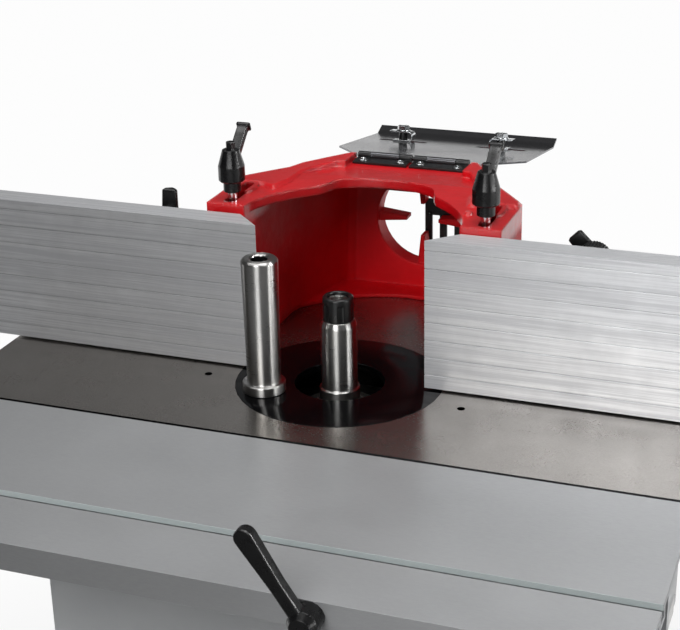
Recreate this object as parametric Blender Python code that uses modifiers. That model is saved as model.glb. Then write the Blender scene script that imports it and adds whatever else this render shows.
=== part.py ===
import math

import bmesh
import bpy
from mathutils import Matrix, Vector

# Sizes are in metres. X runs along the fences, Y to the back and Z up.
# The spindle axis stands at X = Y = 0 and the machine rests on Z = 0.

# Clearances
SEAT_GAP = 0.0003
RUN_GAP = 0.0002

# Main table
TABLE_HEIGHT = 0.850
TABLE_LENGTH = 0.740
TABLE_FRONT = 0.139
TABLE_REAR = 0.281
TABLE_SKIRT = 0.045
TABLE_PLATE = 0.014
TABLE_WALL = 0.010
TABLE_RIB_X = 0.150
PIN_HOLE_X = 0.1324
PIN_HOLE_Y = 0.0243
PIN_HOLE_RADIUS = 0.004

# Table ring
RING_RADIUS = 0.104
RING_BORE = 0.045
RING_THICK = 0.008
RING_LEDGE = 0.014

# Hood casting
ARM_HALF_SPAN = 0.153
ARM_WIDTH = 0.041
ARM_FRONT = 0.036
ARM_LENGTH = 0.082
HOOD_WALL = 0.008
HOOD_TOP = 0.161
HOOD_PLATE = 0.010
HOOD_REAR = 0.268
HOOD_REAR_HALF = 0.072
FLANK_REAR = 0.244
HOOD_BASE_HALF = 0.097
FLANK_BASE_REAR = 0.256
HOOD_SHOULDER = 0.120
SHOULDER_SHARE = 0.3
CORNER_HALF = 0.076
CEILING_HALF = 0.060
RIM_RISE = 0.004
RIM_WIDTH = 0.016
RIM_SLOPE = 0.0036
RIM_FALL = 0.0277
LAND_FRONT = 0.205
LAND_HALF = 0.075
LAND_LEVEL = 0.1555
LAND_REAR = 0.244
LAND_FALL = 0.25
EAR_HALF = 0.066
REAR_CEILING = 0.141
ARCH_START = 0.045
ARCH_BOW_IN = 0.008
ARCH_BOW_BACK = 0.041
ARCH_SHOULDER_X = 0.063
ARCH_SHOULDER_Y = 0.119
ARCH_STEP = 0.012
ARCH_RISE = 0.029
FLOOR_LIP = 0.004
LIP_FRONT = 0.155
LIP_REAR = 0.2305
SLOT_FRONT = 0.043
SLOT_REAR = 0.102
SLOT_RIM = 0.005
SLOT_RIM_FRONT = 0.070
PIP_X = 0.110
PIP_Y = 0.074
PIP_RADIUS = 0.0048
PIP_RISE = 0.003

# Dust port
PORT_X = 0.004
PORT_RADIUS = 0.052
PORT_WALL = 0.007
PORT_HEIGHT = 0.083
PORT_REACH = 0.015
FINGER_LENGTH = 0.037
FINGER_THICK = 0.006
FINGER_TIP = 0.004
GUARD_THICK = 0.003
GUARD_LEG = 0.0085
GUARD_PITCH = 0.0172
GUARD_DROP = 0.044
GUARD_BEAM = 0.019

# Fences
FENCE_LENGTH = 0.340
FENCE_HEIGHT = 0.153
FENCE_THICK = 0.028
FENCE_LIFT = 0.002
LEFT_FENCE_FACE = 0.0006
RIGHT_FENCE_FACE = 0.0064
LEFT_FENCE_TIP = 0.085
RIGHT_FENCE_TIP = 0.086
GROOVE_COUNT = 8
GROOVE_PITCH = 0.0184
GROOVE_TOP = 0.010
GROOVE_WIDTH = 0.0012
GROOVE_DEPTH = 0.0006
TEE_HEIGHT = 0.135
TEE_LOW = 0.028
TEE_MOUTH = 0.009
TEE_HEAD = 0.016
TEE_LIP = 0.004
TEE_ROOM = 0.007
CHAMBER_WALL = 0.005

# Fence carriers and their clamps
CARRIER_PLATE = 0.010
CARRIER_REACH = 0.300
CARRIER_TOP = 0.147
CARRIER_NECK = 0.114
CARRIER_BACK = 0.070
CARRIER_TRAVEL = 0.012
STUD_Y = 0.0554
STUD_RADIUS = 0.005
LEVER_BASE = 0.169
LEVER_SKIRT_RADIUS = 0.0085
LEVER_SKIRT = 0.011
LEVER_RADIUS = 0.0125
LEVER_BARREL = 0.016
LEVER_CONE = 0.017
LEVER_CAP_RADIUS = 0.004
LEVER_CAP = 0.0075
LEVER_REACH = 0.034
LEVER_RISE = 0.062
LEVER_WIDTH = 0.011
LEFT_BOLT_X = 0.204
RIGHT_BOLT_X = 0.238
WING_RADIUS = 0.016
WING_HUB = 0.022
WING_REACH = 0.031
WING_WIDTH = 0.017
WING_THICK = 0.008
WING_BOLT = 0.004

# Guard cover and hinge
HINGE_Y = 0.2435
HINGE_BARREL = 0.004
HINGE_PIN = 0.0018
HINGE_LEAF = 0.0025
LEAF_FRONT = 0.221
LEAF_INNER = 0.0015
LEAF_OUTER = 0.063
KNUCKLE = 0.014
KNUCKLE_GAP = 0.0005
COVER_TILT = math.radians(-9.0)
COVER_THICK = 0.002
COVER_HALF = 0.1106
COVER_NECK_HALF = 0.065
COVER_SHOULDER = 0.066
COVER_LENGTH = 0.205
COVER_LIP = 0.0155
COVER_LIP_RISE = 0.0085
COVER_SLOT_X = 0.060
COVER_SLOT_Y = 0.150
COVER_SLOT_LENGTH = 0.060
COVER_SLOT_WIDTH = 0.0095
CLAMP_BOLT = 0.004
CLAMP_HEX = 0.0075
CLAMP_HEAD = 0.0055
CLAMP_WASHER = 0.0084
CLAMP_WASHER_THICK = 0.0014
CLIP_WIDTH = 0.014
CLIP_INNER = 0.0115
CLIP_OUTER = 0.0135
CLIP_HEIGHT = 0.012
CLIP_THICK = 0.0016

# Spindle
CHUCK_BOTTOM = 0.0234
CHUCK_FLANGE = 0.0189
CHUCK_FLANGE_RADIUS = 0.0203
CHUCK_RADIUS = 0.018
CHUCK_TOP = 0.067
CHUCK_NOSE_RADIUS = 0.0115
CHUCK_NOSE = 0.0135
NUT_RADIUS = 0.0153
NUT_TOP = 0.0915
NUT_LIP = 0.005
NUT_MOUTH = 0.0085
COLLET_BORE = 0.006
SHAFT_RADIUS = 0.015
SHAFT_SHOULDER = 0.002
SHAFT_TAIL = 0.318
BEARING_RADIUS = 0.031
BEARING_WIDTH = 0.016
BEARING_INSET = 0.002
QUILL_RADIUS = 0.040
QUILL_TOP = 0.028
QUILL_LENGTH = 0.234
SPARE_X = -0.0638
SPARE_Y = -0.0414
SPARE_RADIUS = 0.0165
SPARE_TOP_RADIUS = 0.0181
SPARE_HEIGHT = 0.138
SPARE_FLANGE_RADIUS = 0.0213
SPARE_FLANGE = 0.010
SPARE_BORE = 0.0085
SPARE_BORE_DEPTH = 0.030

# Rise and fall
LIFT_UP = 0.050
LIFT_DOWN = 0.060
GUIDE_FLANGE = 0.012
GUIDE_HALF = 0.125
COLUMN_X = 0.085
COLUMN_Y = 0.098
COLUMN_RADIUS = 0.014
BOSS_WALL = 0.012
CARRIAGE_TOP = 0.112
CARRIAGE_HEIGHT = 0.120
FOOT_THICK = 0.012
FOOT_MARGIN = 0.004
LEAD_Y = 0.098
LEAD_RADIUS = 0.009
LEAD_COLLAR = 0.005
LEAD_COLLAR_RADIUS = 0.013
NUT_WALL = 0.007
NUT_FLANGE = 0.006
GEAR_RADIUS = 0.018
GEAR_TEETH = 16
GEAR_ADDENDUM = 0.0012
GEAR_DEDENDUM = 0.0018
GEAR_TAPER = 0.6
GEAR_HUB_RADIUS = 0.0118
GEAR_HUB = 0.008
CRANK_DROP = 0.430
GEAR_ROOM = 0.0256
CRANK_RADIUS = 0.008
CRANK_FRONT = 0.050
BUSH_WALL = 0.004
BUSH_FLANGE = 0.005
PEDESTAL = 0.016
WHEEL_RADIUS = 0.068
WHEEL_RIM = 0.008
WHEEL_HUB = 0.018
WHEEL_HUB_LENGTH = 0.024
WHEEL_SPOKE = 0.006
GRIP_RADIUS = 0.0115
GRIP_LENGTH = 0.065

# Drive
MOTOR_ROOM = 0.085
MOTOR_Y = 0.040
MOTOR_RADIUS = 0.062
MOTOR_LENGTH = 0.190
MOTOR_FLANGE = 0.008
MOTOR_FLANGE_RADIUS = 0.069
MOTOR_FINS = 20
MOTOR_FIN = 0.006
MOTOR_SHAFT_RADIUS = 0.0095
MOTOR_SHAFT_SEAT = 0.014
FAN_COVER = 0.050
FAN_WALL = 0.003
BRACKET_PLATE = 0.008
BRACKET_MARGIN = 0.074
COLUMN_ROOM = 0.012
PULLEY_TOP = 0.282
PULLEY_WIDTH = 0.030
PULLEY_FLANGE = 0.003
PULLEY_LIP = 0.005
SPINDLE_PULLEY = 0.028
MOTOR_PULLEY = 0.056
BELT_THICK = 0.003

# Sliding table
SLIDE_GAP = 0.0025
SLIDE_WIDTH = 0.2385
SLIDE_PLATE = 0.006
SLIDE_EDGE = 0.026
SLIDE_WALL = 0.005
SLIDE_TEE_Y = 0.3065
SLIDE_TEE_MOUTH = 0.0096
SLIDE_TEE_HEAD = 0.018
SLIDE_TEE_ROOM = 0.007
SLIDE_TEE_LIP = 0.0055
RAIL_Y = 0.255
RAIL_WIDTH = 0.030
RAIL_HEIGHT = 0.017
RUNNER_WALL = 0.0085
RUNNER_DROP = 0.012
RAIL_BRACKET_X = 0.230
RAIL_BRACKET_WIDTH = 0.040
RAIL_BRACKET_PLATE = 0.008
RAIL_BRACKET_TOE = 0.055
RAIL_BRACKET_DROP = 0.110
LOCK_X = 0.1147
LOCK_REACH = 0.081
LOCK_LEAN = math.radians(33.5)
LOCK_TIP = 0.0085
LOCK_NECK = 0.0058

# Stand
PLINTH_HEIGHT = 0.080
PLINTH_INSET = 0.020
PLINTH_SHEET = 0.003
CABINET_HALF = 0.270
CABINET_REAR = 0.262
CABINET_SHEET = 0.002
CABINET_FLANGE = 0.030
DOOR_FRONT = -0.060
DOOR_REAR = 0.200
DOOR_BOTTOM = 0.190
DOOR_TOP = 0.690
DOOR_LAP = 0.015
DOOR_DEPTH = 0.014
LATCH_RADIUS = 0.013
LATCH_SHANK = 0.004
DOOR_TUBE = 0.005
DOOR_TUBE_HALF = 0.030
DOOR_HINGE_INSET = 0.075
DOOR_WEB = 0.003
VENT_COUNT = 6
VENT_PITCH = 0.026
VENT_LENGTH = 0.140
VENT_HEIGHT = 0.007
SWITCH_X = 0.155
SWITCH_WIDTH = 0.080
SWITCH_HEIGHT = 0.130
SWITCH_DROP = 0.170
SWITCH_DEPTH = 0.046
BUTTON_RADIUS = 0.0125
BUTTON_SPACING = 0.056
BUTTON_TRAVEL = 0.003
BUTTON_DEPTH = 0.012
START_PROUD = 0.003
STOP_PROUD = 0.010

# Facets round a turned piece
FINE = 40
ROUND = 24
COARSE = 16

FINISHES = {
    "red_paint": ((0.62, 0.012, 0.018), 0.30, 0.0),
    "cast_iron": ((0.16, 0.155, 0.15), 0.42, 0.9),
    "machined_iron": ((0.30, 0.29, 0.28), 0.38, 0.9),
    "aluminium": ((0.66, 0.67, 0.68), 0.34, 1.0),
    "polished_steel": ((0.62, 0.61, 0.60), 0.16, 1.0),
    "zinc": ((0.68, 0.69, 0.70), 0.28, 1.0),
    "black_gloss": ((0.012, 0.012, 0.013), 0.14, 0.2),
    "black_plastic": ((0.02, 0.02, 0.021), 0.38, 0.0),
    "black_paint": ((0.015, 0.015, 0.016), 0.32, 0.0),
    "blued_plate": ((0.10, 0.10, 0.105), 0.24, 0.8),
    "bronze": ((0.55, 0.36, 0.16), 0.35, 1.0),
    "rubber": ((0.02, 0.02, 0.02), 0.75, 0.0),
    "grey_paint": ((0.46, 0.47, 0.48), 0.45, 0.0),
    "dark_paint": ((0.06, 0.062, 0.065), 0.5, 0.0),
    "green_plastic": ((0.03, 0.35, 0.08), 0.35, 0.0),
    "red_plastic": ((0.60, 0.02, 0.02), 0.35, 0.0),
}

for old in list(bpy.data.objects):
    bpy.data.objects.remove(old, do_unlink=True)

parts = bpy.data.collections.new("router_table")
cutters = bpy.data.collections.new("cutters")
bpy.context.scene.collection.children.link(parts)
bpy.context.scene.collection.children.link(cutters)


# Helpers
def material(name, finish):
    colour, roughness, metallic = FINISHES[finish]
    made = bpy.data.materials.new(name)
    made.use_nodes = True
    shader = made.node_tree.nodes["Principled BSDF"]
    shader.inputs["Base Color"].default_value = (*colour, 1.0)
    shader.inputs["Roughness"].default_value = roughness
    shader.inputs["Metallic"].default_value = metallic
    made.diffuse_color = (*colour, 1.0)
    return made


def pivot(name, place, parent=None, turn=(0.0, 0.0, 0.0)):
    empty = bpy.data.objects.new(name, None)
    empty.empty_display_size = 0.03
    parts.objects.link(empty)
    empty.parent = parent
    empty.location = place
    empty.rotation_euler = turn
    return empty


def part(name, mesh, finish, parent, place=(0.0, 0.0, 0.0), turn=(0.0, 0.0, 0.0)):
    mesh.name = name
    item = bpy.data.objects.new(name, mesh)
    parts.objects.link(item)
    item.parent = parent
    item.location = place
    item.rotation_euler = turn
    mesh.materials.append(material(name, finish))
    return item


def tool(mesh, parent, place=(0.0, 0.0, 0.0), turn=(0.0, 0.0, 0.0)):
    item = bpy.data.objects.new("tool", mesh)
    cutters.objects.link(item)
    item.parent = parent
    item.location = place
    item.rotation_euler = turn
    item.hide_render = True
    item.display_type = "WIRE"
    return item


def combine(item, other, operation):
    step = item.modifiers.new(operation.lower(), "BOOLEAN")
    step.object = other
    step.operation = operation
    return item


def cut(item, mesh, place=(0.0, 0.0, 0.0), turn=(0.0, 0.0, 0.0)):
    return combine(item, tool(mesh, item, place, turn), "DIFFERENCE")


def weld(item, mesh, place=(0.0, 0.0, 0.0), turn=(0.0, 0.0, 0.0)):
    return combine(item, tool(mesh, item, place, turn), "UNION")


def soften(item, width, segments=1, angle=40.0):
    step = item.modifiers.new("bevel", "BEVEL")
    step.width = width
    step.segments = segments
    step.limit_method = "ANGLE"
    step.angle_limit = math.radians(angle)
    return item


def smooth(mesh, angle=35.0):
    mesh.shade_smooth()
    mesh.set_sharp_from_angle(angle=math.radians(angle))


def box(low, high):
    mesh = bpy.data.meshes.new("box")
    shape = bmesh.new()
    bmesh.ops.create_cube(shape, size=1.0)
    size = Vector(high) - Vector(low)
    middle = (Vector(high) + Vector(low)) / 2
    bmesh.ops.transform(shape, verts=shape.verts,
                        matrix=Matrix.Translation(middle) @ Matrix.Diagonal((*size, 1.0)))
    shape.to_mesh(mesh)
    shape.free()
    return mesh


def rod(radius, low, high, segments=ROUND, axis="Z", end_radius=None):
    mesh = bpy.data.meshes.new("rod")
    shape = bmesh.new()
    bmesh.ops.create_cone(shape, cap_ends=True, segments=segments, radius1=radius,
                          radius2=radius if end_radius is None else end_radius, depth=high - low)
    lift = Matrix.Translation((0.0, 0.0, (low + high) / 2))
    aim = {"Z": Matrix.Identity(4), "X": Matrix.Rotation(math.pi / 2, 4, "Y"),
           "Y": Matrix.Rotation(-math.pi / 2, 4, "X")}[axis]
    bmesh.ops.transform(shape, verts=shape.verts, matrix=aim @ lift)
    shape.to_mesh(mesh)
    shape.free()
    smooth(mesh)
    return mesh


def outline(loops, low, high, axis="Z"):
    # A flat outline, in XY, YZ or XZ, drawn as a curve and given its thickness along the axis.
    curve = bpy.data.curves.new("outline", "CURVE")
    curve.dimensions = "2D"
    curve.fill_mode = "BOTH"
    curve.extrude = (high - low) / 2
    for points in loops:
        spline = curve.splines.new("POLY")
        spline.points.add(len(points) - 1)
        for point, (u, v) in zip(spline.points, points):
            point.co = (u, v, 0.0, 1.0)
        spline.use_cyclic_u = True
    sketch = bpy.data.objects.new("outline", curve)
    cutters.objects.link(sketch)
    graph = bpy.context.evaluated_depsgraph_get()
    mesh = bpy.data.meshes.new_from_object(sketch.evaluated_get(graph))
    bpy.data.objects.remove(sketch, do_unlink=True)
    lift = Matrix.Translation((0.0, 0.0, (low + high) / 2))
    aim = {"Z": Matrix.Identity(4),
           "X": Matrix(((0, 0, 1, 0), (1, 0, 0, 0), (0, 1, 0, 0), (0, 0, 0, 1))),
           "Y": Matrix(((1, 0, 0, 0), (0, 0, 1, 0), (0, 1, 0, 0), (0, 0, 0, 1)))}[axis]
    shape = bmesh.new()
    shape.from_mesh(mesh)
    bmesh.ops.remove_doubles(shape, verts=shape.verts, dist=0.000005)
    if len(loops) == 1:
        # One face for each end in place of the curve's fill, which leaves slivers on straight runs.
        sides = {face for face in shape.faces if len({round(v.co.z, 7) for v in face.verts}) > 1}
        ends = [face for face in shape.faces if face not in sides]
        bmesh.ops.delete(shape, geom=ends, context="FACES")
        bmesh.ops.holes_fill(shape, edges=shape.edges, sides=0)
    bmesh.ops.transform(shape, verts=shape.verts, matrix=aim @ lift)
    bmesh.ops.recalc_face_normals(shape, faces=shape.faces)
    shape.to_mesh(mesh)
    shape.free()
    return mesh


def drafted(base, crown, low, shoulder, high):
    # A body whose outline draws in from the base to the crown, most of all above the shoulder.
    waist = [(a + (c - a) * SHOULDER_SHARE, b + (d - b) * SHOULDER_SHARE)
             for (a, b), (c, d) in zip(base, crown)]
    mesh = bpy.data.meshes.new("drafted")
    shape = bmesh.new()
    rings = [[shape.verts.new((x, y, z)) for x, y in mirrored(points)]
             for points, z in ((base, low), (waist, shoulder), (crown, high))]
    shape.faces.new(rings[0])
    shape.faces.new(rings[2])
    for under, over in zip(rings, rings[1:]):
        for i, corner in enumerate(under):
            shape.faces.new((under[i - 1], corner, over[i]))
            shape.faces.new((under[i - 1], over[i], over[i - 1]))
    bmesh.ops.recalc_face_normals(shape, faces=shape.faces)
    bmesh.ops.dissolve_limit(shape, angle_limit=0.0005, verts=shape.verts, edges=shape.edges)
    shape.to_mesh(mesh)
    shape.free()
    return mesh


def profile(points, closed=False):
    mesh = bpy.data.meshes.new("profile")
    count = len(points)
    edges = [(i, i + 1) for i in range(count - 1)]
    if closed:
        edges.append((count - 1, 0))
    mesh.from_pydata([(r, 0.0, z) for r, z in points], edges, [])
    return mesh


def spin(item, segments=ROUND):
    step = item.modifiers.new("screw", "SCREW")
    step.angle = 2 * math.pi
    step.steps = segments
    step.render_steps = segments
    step.use_merge_vertices = True
    step.merge_threshold = 0.00001
    step.use_smooth_shade = True
    return item


def turned(name, points, finish, parent, place=(0.0, 0.0, 0.0), turn=(0.0, 0.0, 0.0),
           closed=False, segments=ROUND):
    return spin(part(name, profile(points, closed), finish, parent, place, turn), segments)


def mirrored(points):
    return points + [(-x, y) for x, y in reversed(points) if abs(x) > 1e-9]


def bow(start, bend, end, count=6):
    made = []
    for i in range(count + 1):
        t = i / count
        made.append(tuple(a * (1 - t) ** 2 + 2 * b * t * (1 - t) + c * t * t
                          for a, b, c in zip(start, bend, end)))
    return made


def arc(centre, radius, first, last, count):
    made = []
    for i in range(count + 1):
        angle = first + (last - first) * i / count
        made.append((centre[0] + radius * math.cos(angle), centre[1] + radius * math.sin(angle)))
    return made


def slot(centre, half_length, half_width, along="Y", count=6):
    # An oval with its long side along X or Y.
    run = half_length - half_width
    low = arc((-run, 0.0), half_width, math.pi / 2, 3 * math.pi / 2, count)
    high = arc((run, 0.0), half_width, -math.pi / 2, math.pi / 2, count)
    points = low + high
    if along == "Y":
        points = [(-v, u) for u, v in points]
    return [(centre[0] + u, centre[1] + v) for u, v in points]


def between(start, end, shares):
    return [(start[0] + (end[0] - start[0]) * u, start[1] + (end[1] - start[1]) * v)
            for u, v in shares]


datum = pivot("table_datum", (0.0, 0.0, TABLE_HEIGHT))

# Main table: ground plate, skirt and ribs, with a seat for the ring
table_end = TABLE_LENGTH / 2
table = part("main_table", box((-table_end, -TABLE_FRONT, -TABLE_SKIRT), (table_end, TABLE_REAR, 0.0)),
             "machined_iron", datum)
soften(table, 0.0012)
pocket_front = TABLE_WALL - TABLE_FRONT
pocket_rear = TABLE_REAR - TABLE_WALL
pocket_half = (pocket_rear - pocket_front - TABLE_WALL) / 2
for side in (-1, 1):
    near = side * (TABLE_RIB_X + TABLE_WALL)
    far = side * (table_end - TABLE_WALL)
    bay = tool(box((min(near, far), pocket_front, -TABLE_SKIRT - 0.01),
                   (max(near, far), pocket_front + pocket_half, -TABLE_PLATE)), table)
    row = bay.modifiers.new("bays", "ARRAY")
    row.count = 2
    row.use_relative_offset = False
    row.use_constant_offset = True
    row.constant_offset_displace = (0.0, pocket_half + TABLE_WALL, 0.0)
    row.merge_threshold = 0.0001
    combine(table, bay, "DIFFERENCE")
    cut(table, rod(PIN_HOLE_RADIUS, -TABLE_PLATE - 0.01, 0.01, 12), (side * PIN_HOLE_X, -PIN_HOLE_Y, 0.0))
middle_bay = tool(box((-TABLE_RIB_X, pocket_front, -TABLE_SKIRT - 0.01),
                      (TABLE_RIB_X, pocket_rear, -TABLE_PLATE)), table)
combine(middle_bay, tool(rod(RING_RADIUS + RING_LEDGE, -TABLE_SKIRT - 0.02, 0.01, FINE), table), "DIFFERENCE")
combine(table, middle_bay, "DIFFERENCE")
cut(table, rod(RING_RADIUS - RING_LEDGE, -TABLE_SKIRT - 0.01, 0.01, FINE))
cut(table, rod(RING_RADIUS + SEAT_GAP, -RING_THICK - SEAT_GAP, 0.01, FINE))

turned("table_ring", [(RING_BORE, 0.0), (RING_RADIUS - 0.0006, 0.0), (RING_RADIUS, -0.0006),
                      (RING_RADIUS, -RING_THICK), (RING_BORE, -RING_THICK)],
       "black_gloss", datum, closed=True, segments=FINE)

# Hood: one casting of flanks, arms, arch, hinge land and dust port
arm_rear = ARM_FRONT + ARM_LENGTH
arm_inner = ARM_HALF_SPAN - ARM_WIDTH
stud_x = ARM_HALF_SPAN - ARM_WIDTH / 2
rear_inner = HOOD_REAR - HOOD_WALL
flank = between((ARM_HALF_SPAN, arm_rear), (HOOD_REAR_HALF, FLANK_REAR),
                ((0.0, 0.0), (0.23, 0.20), (0.45, 0.385), (0.54, 0.55), (0.76, 0.77), (1.0, 1.0)))
base_flank = between((ARM_HALF_SPAN, arm_rear), (HOOD_BASE_HALF, FLANK_BASE_REAR),
                     ((0.0, 0.0), (0.304, 0.199), (0.571, 0.362), (0.705, 0.522), (0.839, 0.717), (1.0, 1.0)))
hood_base = [(ARM_HALF_SPAN, ARM_FRONT)] + base_flank + [(HOOD_BASE_HALF - 0.005, HOOD_REAR)]
hood_crown = [(ARM_HALF_SPAN, ARM_FRONT)] + flank + [(HOOD_REAR_HALF, HOOD_REAR)]
hood = part("hood", drafted(hood_base, hood_crown, 0.0, HOOD_SHOULDER, HOOD_TOP), "red_paint", datum,
            (0.0, 0.0, SEAT_GAP))
ridge = [(LAND_HALF, LAND_FRONT)] + between(
    (LAND_HALF, LAND_FRONT), (arm_inner - 0.009, arm_rear - RIM_WIDTH - 0.010),
    ((0.38, 0.20), (0.75, 0.41), (0.75, 0.74), (1.0, 1.0)))
plateau = ([(0.0, LAND_FRONT)] + ridge + [(stud_x - SLOT_RIM - 0.006, arm_rear - RIM_WIDTH),
                                          (ARM_HALF_SPAN, arm_rear - RIM_WIDTH)]
           + flank + [(0.0, FLANK_REAR - SEAT_GAP)])
plateau[-2] = (HOOD_REAR_HALF, FLANK_REAR - SEAT_GAP)
land = tool(outline([mirrored(plateau)], HOOD_TOP - RIM_RISE, HOOD_TOP + RIM_RISE), hood)
soften(land, RIM_SLOPE, 1, 60.0)
combine(hood, land, "UNION")
# The plateau falls a little to the rear, and the land for the hinge lies lower between two ears.
past_rear = HOOD_REAR + 0.02
past_side = ARM_HALF_SPAN + 0.02
above = HOOD_TOP + 0.02
rim_start = arm_rear - 0.010
rim_top = HOOD_TOP + RIM_RISE + RIM_FALL * (arm_rear - rim_start)
rim_line = [(rim_start, rim_top), (past_rear, rim_top - RIM_FALL * (past_rear - rim_start)),
            (past_rear, above), (rim_start, above)]
cut(hood, outline([rim_line], -past_side, past_side, "X"))
dip = [(x - 0.0005, y) for x, y in reversed(ridge[:3])]
dip += [(EAR_HALF, LAND_FRONT + 0.002), (EAR_HALF, LAND_REAR), (EAR_HALF + 0.02, LAND_REAR),
        (EAR_HALF + 0.02, past_rear)]
recess = tool(outline([mirrored(dip)], REAR_CEILING, above), hood)
dip_start = dip[0][1] - 0.010
fall = [(dip_start, HOOD_TOP + 0.0005), (LAND_FRONT, LAND_LEVEL), (LAND_REAR, LAND_LEVEL),
        (past_rear + 0.01, LAND_LEVEL - LAND_FALL * (past_rear + 0.01 - LAND_REAR)),
        (past_rear + 0.01, above + 0.01), (dip_start, above + 0.01)]
combine(recess, tool(outline([fall], -past_side, past_side, "X"), hood), "INTERSECT")
combine(hood, recess, "DIFFERENCE")
weld(hood, rod(PORT_RADIUS + PORT_WALL, rear_inner + 0.001, HOOD_REAR + PORT_REACH, FINE, "Y"),
     (PORT_X, 0.0, PORT_HEIGHT))
stud_slot = STUD_RADIUS + 0.0008
for side in (-1, 1):
    rim_middle = (SLOT_RIM_FRONT + SLOT_REAR + SLOT_RIM) / 2
    rim_half = (SLOT_REAR + SLOT_RIM - SLOT_RIM_FRONT) / 2
    weld(hood, outline([slot((side * stud_x, rim_middle), rim_half, stud_slot + SLOT_RIM)],
                       HOOD_TOP - 0.003, HOOD_TOP + RIM_RISE - 0.001))
weld(hood, rod(PIP_RADIUS, HOOD_TOP - 0.002, HOOD_TOP + PIP_RISE, 12, end_radius=PIP_RADIUS * 0.7),
     (PIP_X, PIP_Y, 0.0))
cavity_start = (arm_inner, arm_rear - HOOD_WALL)
cavity_base = [(arm_inner, ARM_FRONT - 0.02)] + between(
    cavity_start, (CORNER_HALF, rear_inner),
    ((0.0, 0.0), (0.042, 0.267), (0.181, 0.467), (0.375, 0.647), (0.486, 0.769), (0.653, 0.917),
     (0.778, 0.970), (1.0, 1.0)))
cavity = [(arm_inner, ARM_FRONT - 0.02)] + between(
    cavity_start, (CEILING_HALF, rear_inner),
    ((0.0, 0.0), (0.112, 0.34), (0.258, 0.5), (0.452, 0.61), (0.625, 0.7), (0.779, 0.793), (0.894, 0.88),
     (1.0, 1.0)))
cut(hood, drafted(cavity_base, cavity, FLOOR_LIP, HOOD_SHOULDER, REAR_CEILING))
front_cavity = [point for point in cavity if point[1] < LAND_FRONT - 0.015]
cut(hood, outline([mirrored(front_cavity)], REAR_CEILING - 0.001, HOOD_TOP - HOOD_PLATE))
floor_edge = [(arm_inner, ARM_FRONT - 0.02)] + between(
    (arm_inner, LIP_FRONT), (0.0, LIP_REAR),
    ((0.0, 0.0), (0.031, 0.172), (0.178, 0.424), (0.338, 0.642), (0.505, 0.815), (0.651, 0.898),
     (0.875, 0.989), (1.0, 1.0)))
cut(hood, outline([mirrored(floor_edge)], -0.01, FLOOR_LIP + 0.001))
crown = arc((0.0, 0.0), 1.0, 0.0, math.pi / 2, 8)
arch = [(arm_inner, ARM_FRONT - 0.02)]
arch += bow((arm_inner, ARCH_START), (arm_inner - ARCH_BOW_IN, ARCH_START + ARCH_BOW_BACK),
            (ARCH_SHOULDER_X, ARCH_SHOULDER_Y))
arch += [((ARCH_SHOULDER_X - 0.0055) * u, ARCH_SHOULDER_Y + ARCH_STEP + ARCH_RISE * v) for u, v in crown]
cut(hood, outline([mirrored(arch)], HOOD_TOP - HOOD_PLATE - 0.004, HOOD_TOP + 0.02))
for side in (-1, 1):
    inner_wall = side * (arm_inner + HOOD_WALL)
    outer_wall = side * (ARM_HALF_SPAN - HOOD_WALL)
    beyond = side * (ARM_HALF_SPAN + 0.01)
    plate_back = RIGHT_FENCE_FACE + FENCE_THICK + CARRIER_PLATE + CARRIER_TRAVEL
    cut(hood, box((min(inner_wall, outer_wall), ARM_FRONT - 0.01, -0.01),
                  (max(inner_wall, outer_wall), arm_rear - 0.004, HOOD_TOP - HOOD_PLATE)))
    cut(hood, box((min(outer_wall, beyond) - 0.001, ARM_FRONT - 0.01, -0.01),
                  (max(outer_wall, beyond) + 0.001, plate_back, CARRIER_NECK + 0.004)))
    cut(hood, outline([slot((side * stud_x, (SLOT_FRONT + SLOT_REAR) / 2), (SLOT_REAR - SLOT_FRONT) / 2,
                            stud_slot)], HOOD_TOP - HOOD_PLATE - 0.004, HOOD_TOP + 0.02))
cut(hood, rod(PORT_RADIUS, rear_inner - 0.01, HOOD_REAR + PORT_REACH + 0.01, FINE, "Y"),
    (PORT_X, 0.0, PORT_HEIGHT))
root = PORT_RADIUS + PORT_WALL / 2
finger_end = root - FINGER_LENGTH
finger = [(root, FINGER_THICK), (finger_end, FINGER_TIP / 2), (finger_end, -FINGER_TIP / 2),
          (root, -FINGER_THICK)]
for quarter in range(4):
    weld(hood, outline([finger], HOOD_REAR - 0.004, HOOD_REAR + PORT_REACH - 0.003, "Y"),
         (PORT_X, 0.0, PORT_HEIGHT), (0.0, quarter * math.pi / 2, 0.0))

# Comb plate on the back of the dust port
comb_back = HOOD_REAR + PORT_REACH + SEAT_GAP
leg_starts = [i * GUARD_PITCH + 0.001 for i in range(3)]
comb = [(PORT_RADIUS + PORT_WALL, GUARD_BEAM), (leg_starts[0], GUARD_BEAM)]
for start in leg_starts:
    comb += [(start, -GUARD_DROP + GUARD_BEAM * 0.2), (start + GUARD_LEG, -GUARD_DROP + GUARD_BEAM * 0.2),
             (start + GUARD_LEG, 0.0)]
    if start != leg_starts[-1]:
        comb.append((start + GUARD_PITCH, 0.0))
comb.append((PORT_RADIUS + PORT_WALL, 0.0))
part("port_guard", outline([comb], comb_back, comb_back + GUARD_THICK, "Y"), "black_paint", datum,
     (0.0, 0.0, PORT_HEIGHT + SEAT_GAP))

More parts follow.
